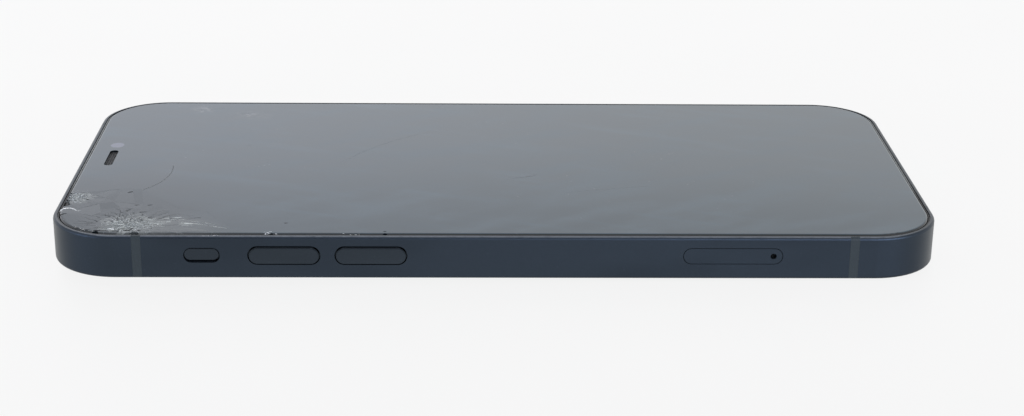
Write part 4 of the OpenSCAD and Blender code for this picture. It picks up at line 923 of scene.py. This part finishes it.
def settle(bm, gap, rng, loose):
    """Draws a fragment in by the crack gap, and tips and sinks it a little where the glass is loose."""
    centre, low, high = extent(bm)
    span = Vector((max(high.x - low.x, gap * 4), max(high.y - low.y, gap * 4)))
    shrink = Matrix.Diagonal((1.0 - gap / span.x, 1.0 - gap / span.y, 1.0))
    tips = [Matrix.Rotation(rng.gauss(0.0, TIP_SPREAD) * loose, 3, axis) for axis in "XY"]
    tip = tips[0] @ tips[1]
    sink = Vector((0.0, 0.0, -abs(rng.gauss(0.0, SINK_SPREAD)) * loose))
    for v in bm.verts:
        v.co = centre + sink + tip @ (shrink @ (v.co - centre))


def chamfer_top(bm, width):
    """Breaks the upper edges of a fragment."""
    bm.normal_update()
    edges = []
    for e in bm.edges:
        if len(e.link_faces) == 2:
            ups = sorted(f.normal.z for f in e.link_faces)
            if ups[1] > 0.8 and ups[0] < 0.5:
                edges.append(e)
    if edges:
        bmesh.ops.bevel(
            bm, geom=edges, offset=width, segments=1, affect="EDGES", clamp_overlap=True, material=1
        )


def join_into(whole, part):
    """Adds a closed bmesh to another, keeping materials, and frees it."""
    frost = whole.verts.layers.float["frost"]
    own = part.verts.layers.float["frost"]
    made = {}
    for v in part.verts:
        copy = whole.verts.new(v.co)
        copy[frost] = v[own]
        made[v] = copy
    for f in part.faces:
        face = whole.faces.new([made[v] for v in f.verts])
        face.material_index = f.material_index
        face.smooth = f.smooth
    part.free()


def sharpen(bm, angle=35.0):
    """Marks the edges that turn by more than an angle as sharp."""
    bm.normal_update()
    limit = math.radians(angle)
    for e in bm.edges:
        e.smooth = len(e.link_faces) == 2 and e.calc_face_angle(0.0) < limit


def splinter(bm, centre, size, turn, rng, layer=None, white=0.5):
    """A small angular splinter: the hull of a few points in a flattened ball."""
    points = []
    for _ in range(9):
        p = Vector([rng.gauss(0.0, 1.0) for _ in range(3)]).normalized() * rng.uniform(0.75, 1.0)
        p = Vector((p.x * size[0], p.y * size[1], p.z * size[2])) / 2
        points.append(Matrix.Rotation(turn, 3, "Z") @ p + Vector(centre))
    part = bmesh.new()
    for p in points:
        part.verts.new(p)
    hull = bmesh.ops.convex_hull(part, input=part.verts)
    inside = [v for v in hull["geom_interior"] if isinstance(v, bmesh.types.BMVert)]
    bmesh.ops.delete(part, geom=inside, context="VERTS")
    made = {}
    for v in part.verts:
        copy = bm.verts.new(v.co)
        if layer is not None:
            copy[layer] = white
        made[v] = copy
    for f in part.faces:
        bm.faces.new([made[v] for v in f.verts])
    part.free()


def from_impact(reach, angle):
    """A point on the glass at a distance and an angle from the impact."""
    return IMPACT.x + reach * math.cos(angle), IMPACT.y + reach * math.sin(angle)


def surface_path(points, height=0.002 * MM):
    """Points (x, y, width share) laid on the glass a little above its face."""
    return [(x, y, glass_top(x, y) + height, w) for x, y, w in points]


# ---------------------------------------------------------------- operators

class PHONE_OT_camera(bpy.types.Operator):
    """Adds the camera, looking along the side with the two volume buttons from a little above"""

    bl_idname = "phone.camera"
    bl_label = "Camera"

    def execute(self, context):
        s = context.scene.phone_stage
        data = bpy.data.cameras.new("studio_camera")
        data.sensor_width = 36.0
        data.lens = s.lens
        data.clip_start = 0.01
        data.clip_end = 20.0
        camera = link("studio_camera", data)
        onward = Vector((math.sin(s.yaw), math.cos(s.yaw), 0.0))
        ahead = onward * math.cos(s.pitch) - Vector((0.0, 0.0, math.sin(s.pitch)))
        level = Vector((math.cos(s.yaw), -math.sin(s.yaw), 0.0))
        upright = level.cross(ahead)
        right = level * math.cos(s.roll) + upright * math.sin(s.roll)
        up = upright * math.cos(s.roll) - level * math.sin(s.roll)
        target = Vector((s.target_x, s.target_y, (BAND_LOW.z + GLASS_TOP) / 2))
        turned = Matrix((right, up, -ahead)).transposed().to_4x4()
        camera.matrix_world = Matrix.Translation(target - ahead * s.distance) @ turned
        context.scene.camera = camera
        return {"FINISHED"}


class PHONE_OT_stage(bpy.types.Operator):
    """Adds the pale floor, the even light all round and the soft lights"""

    bl_idname = "phone.stage"
    bl_label = "Stage"

    def execute(self, context):
        s = context.scene.phone_stage
        tilt = math.atan2(BAND_LOW.z, BAND_HIGH.x - RINGS_END)
        gap = 0.02 * MM
        bm = bmesh.new()
        bmesh.ops.create_grid(bm, x_segments=2, y_segments=2, size=s.floor_size / 2)
        bm.transform(Matrix.Translation((RINGS_END, 0.0, -gap)) @ Matrix.Rotation(-tilt, 4, "Y"))
        m = Shader("pale_floor", Roughness=0.6, Specular_IOR_Level=0.1, Emission_Strength=1.0)
        grain = m.noise(m.place(), 0.02, 3.0)
        m.set("Base Color", m.mix(m.fit(grain, 0.3, 0.7), (0.030, 0.030, 0.030), (0.034, 0.034, 0.034)))
        m.set("Emission Color", s.floor)
        mesh_object("floor", bm, [m.material])

        world = bpy.data.worlds.new("even_light")
        world.use_nodes = True
        tree = world.node_tree
        way = node(tree, "ShaderNodeTexCoord")
        parts = node(tree, "ShaderNodeSeparateXYZ", {0: way.outputs["Generated"]}).outputs
        low = ramp(tree, parts["Z"], 0.365, 0.325, 1.0, 1.0 + s.low_glow)
        across = ramp(tree, parts["X"], -0.15, 0.22, 1.06, 0.95)
        front = ramp(tree, parts["Y"], -0.40, -0.92, 0.0, s.front_shade)
        below = ramp(tree, parts["Z"], 0.85, 0.45, 0.0, 1.0)
        shade = self.math(tree, "MULTIPLY", front, below)
        kept = self.math(tree, "SUBTRACT", 1.0, shade)
        level = self.math(tree, "MULTIPLY", self.math(tree, "MULTIPLY", low, kept), across)
        level = self.math(tree, "MULTIPLY", level, s.sky_strength)
        side = ramp(tree, parts["X"], -0.20, 0.20, 0.0, 1.0)
        tints = {0: side, 6: (1.0, 1.01, 1.07), 7: (1.0, 1.0, 1.01)}
        cool = node(tree, "ShaderNodeMix", tints, data_type="RGBA").outputs[2]
        sky = next(n for n in tree.nodes if n.type == "BACKGROUND")
        feed(tree, sky.inputs["Strength"], level)
        feed(tree, sky.inputs["Color"], cool)
        context.scene.world = world
        context.scene.view_settings.view_transform = "Standard"

        self.panel("right_panel", (0.50, -0.80, 0.22), (0.80, 0.40), 5.6, (0.84, 0.94, 1.18))
        self.panel("left_panel", (-0.80, -0.46, 0.16), (0.50, 0.30), 1.2, (0.78, 0.92, 1.25))
        self.panel("glint_panel", (-0.45, 0.9, 0.75), (0.10, 0.10), 0.5)
        return {"FINISHED"}

    def math(self, tree, operation, a, b):
        return node(tree, "ShaderNodeMath", {0: a, 1: b}, operation=operation).outputs[0]

    def panel(self, name, place, size, power, tint=(1.0, 1.0, 1.0)):
        """A soft rectangular light that faces the phone."""
        data = bpy.data.lights.new(name, "AREA")
        data.shape = "RECTANGLE"
        data.size, data.size_y = size
        data.energy = power
        data.color = tint
        light = link(name, data)
        light.visible_camera = False
        light.location = place
        light.rotation_mode = "QUATERNION"
        light.rotation_quaternion = (-Vector(place)).to_track_quat("-Z", "Y")


class PHONE_OT_band(bpy.types.Operator):
    """Finishes the anodised band, its plastic strips and the soft rim round the glass"""

    bl_idname = "phone.band"
    bl_label = "Band and rim"

    def execute(self, context):
        dress("chassis", "antenna_bands", "display_rim")
        return {"FINISHED"}


class PHONE_OT_buttons(bpy.types.Operator):
    """Finishes the buttons, the silent switch and the parts that hold them"""

    bl_idname = "phone.buttons"
    bl_label = "Buttons"

    def execute(self, context):
        dress("volume_up_button", "volume_down_button", "side_button", "silent_switch")
        dress("volume_bracket", "volume_flex", "volume_domes", "side_bracket", "side_dome", "switch_unit")
        return {"FINISHED"}


class PHONE_OT_tray(bpy.types.Operator):
    """Finishes the card tray, its seal and card, the reader and the eject parts"""

    bl_idname = "phone.tray"
    bl_label = "Card tray"

    def execute(self, context):
        dress("card_tray", "tray_seal", "data_card", "card_reader")
        dress("eject_rod", "eject_lever", "eject_pivot")
        return {"FINISHED"}


class PHONE_OT_back(bpy.types.Operator):
    """Finishes the back glass, the camera island and the charging coil behind the glass"""

    bl_idname = "phone.back"
    bl_label = "Back"

    def execute(self, context):
        dress("back_glass", "back_glue", "camera_island", "charging_coil", "coil_shield", "coil_magnets")
        return {"FINISHED"}


class PHONE_OT_cameras(bpy.types.Operator):
    """Finishes the rear cameras, their rings and the flash, and the sensors beside the earpiece"""

    bl_idname = "phone.cameras"
    bl_label = "Cameras and sensors"

    def execute(self, context):
        dress("lens_rings", "flash_window", "flash_unit", "main_camera", "wide_camera")
        dress("camera_bracket", "front_camera", "front_camera_window", "infrared_camera", "dot_projector")
        dress("sensor_bracket", "earpiece_mesh", "earpiece_speaker")
        return {"FINISHED"}


class PHONE_OT_lens_stacks(bpy.types.Operator):
    """Builds each rear window as a glossy annulus, a stepped black baffle and a coated lens"""

    bl_idname = "phone.lens_stacks"
    bl_label = "Lens stacks"

    def execute(self, context):
        bm = bmesh.new()
        for shell in shells(merged_copy(frame["nodes"]["lens_windows"])):
            centre, low, high = extent(shell)
            shell.free()
            self.turn(bm, centre, (high.x - low.x) / 2, low.z, high.z)
        sharpen(bm, 30.0)
        materials = [finish_of("lens_glass"), finish_of("baffle"), finish_of("lens_coating")]
        made = mesh_object("lens_stacks", bm, materials)
        seat_on(made, "handset", "lens_glass", "lens_windows")
        return {"FINISHED"}

    def turn(self, bm, centre, radius, low, high):
        """One closed solid of revolution, seen from below: radius, height and material of each ring."""
        annulus, steps, lens = 3.55 * MM, (3.4, 3.15, 2.9, 2.65, 2.4), 2.25 * MM
        share_r = radius / 4.7
        step_down, crown, crown_rings, around = 0.045 * MM, 0.16 * MM, 7, 72
        profile = [(0.0, high, 0), (radius, high, 0), (radius, low, 0), (annulus * share_r, low, 1)]
        depth = 0.0
        for r in steps:
            depth += step_down
            profile.append((r * MM * share_r, low + depth - step_down, 1))
            profile.append((r * MM * share_r, low + depth, 1))
        rim = lens * share_r
        for i in range(crown_rings + 1):
            a = i / crown_rings * math.pi / 2
            profile.append((rim * math.cos(a), low + depth - crown * math.sin(a), 2))
        rings = []
        for r, z, _ in profile:
            turns = [math.tau * k / around for k in range(around)] if r > 1e-7 else [0.0]
            places = [(centre.x + r * math.cos(t), centre.y + r * math.sin(t), z) for t in turns]
            rings.append([bm.verts.new(place) for place in places])
        for i in range(len(rings) - 1):
            a, b = rings[i], rings[i + 1]
            for k in range(around):
                n = (k + 1) % around
                if len(a) == 1:
                    corners = [a[0], b[n], b[k]]
                elif len(b) == 1:
                    corners = [a[k], a[n], b[0]]
                else:
                    corners = [a[k], a[n], b[n], b[k]]
                face = bm.faces.new(corners)
                face.material_index = profile[i + 1][2]
                face.smooth = True
        bmesh.ops.recalc_face_normals(bm, faces=bm.faces)


class PHONE_OT_inside(bpy.types.Operator):
    """Finishes the display layers, battery, boards and the parts at the socket end"""

    bl_idname = "phone.inside"
    bl_label = "Inside"

    def execute(self, context):
        dress("display_panel", "display_plate", "display_flex", "battery", "battery_flex", "logic_board")
        dress("board_shields", "board_connectors", "heat_spreader", "inner_screws", "dock_flex")
        dress("loudspeaker", "haptic_motor", "microphone")
        return {"FINISHED"}


class PHONE_OT_socket(bpy.types.Operator):
    """Finishes the charging socket, the end screws and the woven screens in the sound holes"""

    bl_idname = "phone.socket"
    bl_label = "Socket end"

    def execute(self, context):
        dress("socket_shell", "socket_contacts", "end_screws", "dust_meshes")
        return {"FINISHED"}


class PHONE_OT_glass(bpy.types.Operator):
    """Finishes the unbroken part of the cover glass"""

    bl_idname = "phone.glass"
    bl_label = "Cover glass"

    def execute(self, context):
        dress("cover_glass")
        return {"FINISHED"}


class PHONE_OT_shards(bpy.types.Operator):
    """Breaks the glass in the struck corner into fragments, finest at the two points of impact"""

    bl_idname = "phone.shards"
    bl_label = "Broken corner"

    def execute(self, context):
        s = fracture()
        rng = random.Random(s.seed)
        whole = bmesh.new()
        whole.verts.layers.float.new("frost")
        for shell in shells(merged_copy(frame["nodes"]["glass_shards"])):
            swell(shell, s.closing)
            _, low, high = extent(shell)
            corner = low.x < SHARDS_LOW.x + 0.1 * MM and high.y < SIDE_Y + 13.0 * MM
            pieces = []
            if corner:
                pieces.append(shell)
            else:
                shatter(shell, s.fine_size, rng, pieces)
            for piece in pieces:
                self.place(piece, whole, rng, s, corner)
        sharpen(whole)
        made = mesh_object("corner_shards", whole, [finish_of("broken_glass"), broken_face()])
        seat_on(made, "handset", "broken_glass", "glass_shards")
        return {"FINISHED"}

    def place(self, piece, whole, rng, s, corner):
        """Settles one fragment and marks how frosted it is."""
        centre, low, high = extent(piece)
        span = max(high.x - low.x, high.y - low.y)
        main = (Vector((centre.x, centre.y)) - IMPACT).length
        end = (Vector((centre.x, centre.y)) - END_CRUSH).length
        near = max(0.0, 1.0 - min(main / (5.4 * MM), end / (3.2 * MM)))
        if span < s.fine_size * 2.2 and rng.random() < s.lost_share * near * 2.0:
            piece.free()
            return
        loose = 0.0 if corner else min(1.0, 0.06 + near * 1.3)
        settle(piece, s.crack_gap * (1.0 + 2.0 * near), rng, loose)
        chamfer_top(piece, min(s.chamfer * (1.6 if corner else 0.25 + near), span * 0.12))
        frost = piece.verts.layers.float.new("frost")
        amount = 0.0 if corner else min(1.0, near * rng.uniform(0.15, 1.45))
        for v in piece.verts:
            v[frost] = amount
        join_into(whole, piece)


class PHONE_OT_crushed_glass(bpy.types.Operator):
    """Scatters grains of crushed glass over the two struck places"""

    bl_idname = "phone.crushed_glass"
    bl_label = "Crushed glass"

    def execute(self, context):
        s = fracture()
        middle = IMPACT + Vector((0.4, -0.3)) * MM
        self.scatter("crushed_glass_side", middle, (5.4 * MM, 6.4 * MM), 1.0, s)
        self.scatter("crushed_glass_end", END_CRUSH, (2.8 * MM, 4.0 * MM), 0.6, s)
        return {"FINISHED"}

    def scatter(self, name, centre, reach, amount, s):
        """Grains over an oval patch of the glass, denser in its middle."""
        bm = bmesh.new()
        bmesh.ops.create_grid(bm, x_segments=40, y_segments=40, size=1.0)
        layer = bm.verts.layers.float.new("density")
        for v in bm.verts:
            far = math.hypot(v.co.x, v.co.y)
            v[layer] = max(0.0, 1.0 - far) ** 1.6
            x = min(max(centre.x + v.co.x * reach[0], GLASS_LOW.x + 0.08 * MM), GLASS_HIGH.x)
            y = max(centre.y + v.co.y * reach[1], GLASS_LOW.y + 0.08 * MM)
            v.co = Vector((x, y, glass_top(x, y) - 0.02 * MM))
        base = mesh_object(name + "_patch", bm, [])
        area = math.pi * reach[0] * reach[1]
        values = {
            "Density": s.grains * amount * 4.5 / area,
            "Grain size": s.grain_size,
            "Seed": s.seed,
        }
        made = grow(base, grain_tree(name, finish_of("crushed")), values, name)
        seat_on(made, "handset", "broken_glass")


class PHONE_OT_streaks(bpy.types.Operator):
    """Adds the pale frosted cracks that fan out from the point of impact under the glass"""

    bl_idname = "phone.streaks"
    bl_label = "Frosted cracks"

    def execute(self, context):
        s = fracture()
        rng = random.Random(s.seed + 11)
        paths = []
        for _ in range(s.streaks):
            angle = rng.triangular(math.radians(-4.0), math.radians(32.0), math.radians(3.0))
            near = rng.uniform(1.6, 9.0) * MM
            reach = near + rng.uniform(1.0, 4.6) * MM * (1.25 - 0.9 * angle / math.radians(32.0))
            paths.append(self.streak(near, reach, angle, rng, rng.uniform(0.15, 0.5)))
        for start, end, width in FAN_LINES:
            paths.append(self.line(Vector(start) * MM, Vector(end) * MM, width))
        ribbons("frosted_cracks", paths, "streak", s.streak_width, 0.012 * MM)
        return {"FINISHED"}

    def line(self, start, end, width):
        """A nearly straight streak between two points."""
        side = Vector((start.y - end.y, end.x - start.x)) * 0.02
        points = []
        for i in range(9):
            t = i / 8
            p = start.lerp(end, t) + side * math.sin(math.pi * t)
            full = max(0.06, 0.65 * math.sin(math.pi * t) ** 0.8)
            points.append((p.x, max(p.y, GLASS_LOW.y + 0.3 * MM), width * full))
        return surface_path(points)

    def streak(self, near, reach, angle, rng, width):
        """A slightly bowed streak that thins towards both ends."""
        bow = rng.gauss(0.0, 0.012)
        points = []
        for i in range(9):
            t = i / 8
            x, y = from_impact(near + (reach - near) * t, angle + bow * math.sin(math.pi * t))
            full = max(0.08, math.sin(math.pi * t) ** 0.7)
            points.append((x, max(y, GLASS_LOW.y + 0.1 * MM), width * full))
        return surface_path(points)


class PHONE_OT_dark_cracks(bpy.types.Operator):
    """Adds the fine dark cracks about the corner, the curved crack beyond it and the scratches"""

    bl_idname = "phone.dark_cracks"
    bl_label = "Dark cracks"

    def execute(self, context):
        s = fracture()
        rng = random.Random(s.seed + 23)
        paths = []
        for _ in range(46):
            angle = math.radians(rng.uniform(25.0, 200.0))
            near = rng.uniform(2.2, 6.5) * MM
            reach = near + rng.uniform(0.8, 3.4) * MM
            paths.append(self.jagged(near, reach, angle, rng, rng.uniform(0.3, 0.8)))
        for x, y, turn, long, width in DARK_FLECKS:
            a = math.radians(turn)
            step = Vector((math.cos(a), math.sin(a))) * long / 2
            ends = [(Vector((x, y)) + step * k) * MM for k in (-1.0, -0.4, 0.3, 1.0)]
            paths.append(surface_path([(p.x, p.y, w * width) for p, w in zip(ends, (0.2, 1.0, 0.8, 0.15))]))
        ribbons("dark_cracks", paths, "dark_crack", 0.17 * MM, 0.010 * MM)

        marks = [self.long_crack()]
        for *knots, width in SCRATCHES:
            marks.append(self.scratch(knots, width, rng))
        ribbons("scratches", marks, "scratch", 0.075 * MM, 0.004 * MM)
        return {"FINISHED"}

    def long_crack(self):
        """The closed line of the long crack beyond the broken corner, which follows its arc."""
        sweep = LONG_CRACK_LENGTH / LONG_CRACK_R
        start = LONG_CRACK_TURN - sweep
        first = Vector(from_impact(LONG_CRACK_START, LONG_CRACK_ANGLE))
        centre = first - LONG_CRACK_R * Vector((math.cos(start), math.sin(start)))
        r, steps, past_end, width = LONG_CRACK_R + 0.06 * MM, 30, 0.02, 2.2
        points = []
        for i in range(steps + 1):
            a = LONG_CRACK_TURN - sweep * (1.0 + past_end - (1.0 + 2.0 * past_end) * i / steps)
            points.append((centre.x + r * math.cos(a), centre.y + r * math.sin(a), width))
        return surface_path(points)

    def jagged(self, near, reach, angle, rng, width):
        """A short crack that turns a little at each step."""
        points = []
        turned = angle
        for i in range(6):
            t = i / 5
            turned += rng.gauss(0.0, 0.035)
            x, y = from_impact(near + (reach - near) * t, turned)
            x = max(x, GLASS_LOW.x + 0.3 * MM)
            points.append((x, y, width * (1.0 - 0.85 * t)))
        return surface_path(points)

    def scratch(self, knots, width, rng):
        """A fine scratch through three points, in millimetres."""
        a, b, c = (Vector(k) for k in knots)
        points = []
        for i in range(25):
            t = i / 24
            p = a * (1 - t) * (1 - 2 * t) + b * 4 * t * (1 - t) + c * t * (2 * t - 1)
            full = width * rng.uniform(0.5, 1.0) * max(0.1, math.sin(math.pi * t) ** 0.5)
            points.append((p.x * MM, p.y * MM, full))
        return surface_path(points)


class PHONE_OT_edge_damage(bpy.types.Operator):
    """Adds the bright splinters along the glass's edge, whose whiteness is partly painted glint, and the
    nicks in the band beside them
    """

    bl_idname = "phone.edge_damage"
    bl_label = "Edge damage"

    def execute(self, context):
        rng = random.Random(fracture().seed + 31)
        bm = bmesh.new()
        white = bm.verts.layers.float.new("whiteness")
        for x, inset, long, count, brightness, large in CHIPS:
            for _ in range(count):
                px = (x + rng.gauss(0.0, long / 4)) * MM
                py = GLASS_LOW.y + (inset + rng.gauss(0.0, 0.12) * large) * MM
                size = [rng.uniform(*ends) * large * MM for ends in SPLINTER_SIZES]
                height = glass_top(px, max(py, GLASS_LOW.y + 0.12 * MM)) - 0.05 * MM
                turn = rng.gauss(0.0, 0.35)
                bright = brightness * rng.uniform(0.5, 1.0)
                splinter(bm, (px, py, height), size, turn, rng, white, bright)
        self.missing_edge_glint(bm, white, rng)
        made = mesh_object("edge_splinters", bm, [finish_of("crushed")])
        seat_on(made, "handset", "broken_glass")

        bm = bmesh.new()
        lip_y = SIDE_Y + 0.42 * MM
        for x, count in NICKS:
            for _ in range(count):
                px = (x + rng.gauss(0.0, 0.35)) * MM
                size = [rng.uniform(*ends) * MM for ends in NICK_SIZES]
                splinter(bm, (px, lip_y, BAND_HIGH.z - 0.04 * MM), size, rng.uniform(0.0, 3.0), rng)
        made = mesh_object("band_nicks", bm, [bare_metal_finish()])
        seat_on(made, "handset", "band_metal")
        return {"FINISHED"}

    def missing_edge_glint(self, bm, white, rng):
        """The pale bowed edge of the glass beside the missing piece at the short end, painted white as a
        glint.
        """
        (start_x, start_y), long, bulge, steps = MISSING_EDGE_GLINT
        for i in range(steps + 1):
            t = i / steps
            bow = bulge * math.sin(math.pi * min(1.0, t * 1.15 + 0.05)) ** 0.8
            px = (start_x + long * t + rng.gauss(0.0, 0.05)) * MM
            py = (start_y + bow + rng.gauss(0.0, 0.07)) * MM
            px = max(px, GLASS_LOW.x + 0.15 * MM)
            lean = math.atan2(bulge * math.cos(math.pi * t), long / 3.0)
            size = [rng.uniform(0.5, 0.9) * MM, rng.uniform(0.30, 0.55) * (1.1 - 0.6 * t) * MM, 0.12 * MM]
            bright = (1.6 - 1.0 * t) * rng.uniform(0.6, 1.0)
            splinter(bm, (px, py, glass_top(px, py) - 0.02 * MM), size, lean, rng, white, bright)


class PHONE_PT_panel(bpy.types.Panel):
    """Lists the steps in order, and their settings"""

    bl_label = "Shattered phone"
    bl_idname = "PHONE_PT_panel"
    bl_space_type = "VIEW_3D"
    bl_region_type = "UI"
    bl_category = "Phone"

    def draw(self, context):
        scene = context.scene
        for step in STEPS:
            self.layout.operator(step.bl_idname)
        for settings in (scene.phone_finish, scene.phone_fracture, scene.phone_stage):
            box = self.layout.box()
            for name in settings.bl_rna.properties.keys():
                if name not in ("rna_type", "name"):
                    box.prop(settings, name)


SETTINGS = (PhoneFinishSettings, PhoneFractureSettings, PhoneStageSettings)
STEPS = (
    PHONE_OT_camera,
    PHONE_OT_band,
    PHONE_OT_buttons,
    PHONE_OT_tray,
    PHONE_OT_back,
    PHONE_OT_cameras,
    PHONE_OT_lens_stacks,
    PHONE_OT_inside,
    PHONE_OT_socket,
    PHONE_OT_glass,
    PHONE_OT_shards,
    PHONE_OT_crushed_glass,
    PHONE_OT_streaks,
    PHONE_OT_dark_cracks,
    PHONE_OT_edge_damage,
    PHONE_OT_stage,
)


def register():
    for cls in (*SETTINGS, *STEPS, PHONE_PT_panel):
        bpy.utils.register_class(cls)
    bpy.types.Scene.phone_finish = bpy.props.PointerProperty(type=PhoneFinishSettings)
    bpy.types.Scene.phone_fracture = bpy.props.PointerProperty(type=PhoneFractureSettings)
    bpy.types.Scene.phone_stage = bpy.props.PointerProperty(type=PhoneStageSettings)


def unregister():
    del bpy.types.Scene.phone_stage
    del bpy.types.Scene.phone_fracture
    del bpy.types.Scene.phone_finish
    for cls in reversed((*SETTINGS, *STEPS, PHONE_PT_panel)):
        bpy.utils.unregister_class(cls)


def main():
    register()
    for step in STEPS:
        group, call = step.bl_idname.split(".")
        getattr(getattr(bpy.ops, group), call)()
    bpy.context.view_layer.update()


if __name__ == "__main__":
    main()
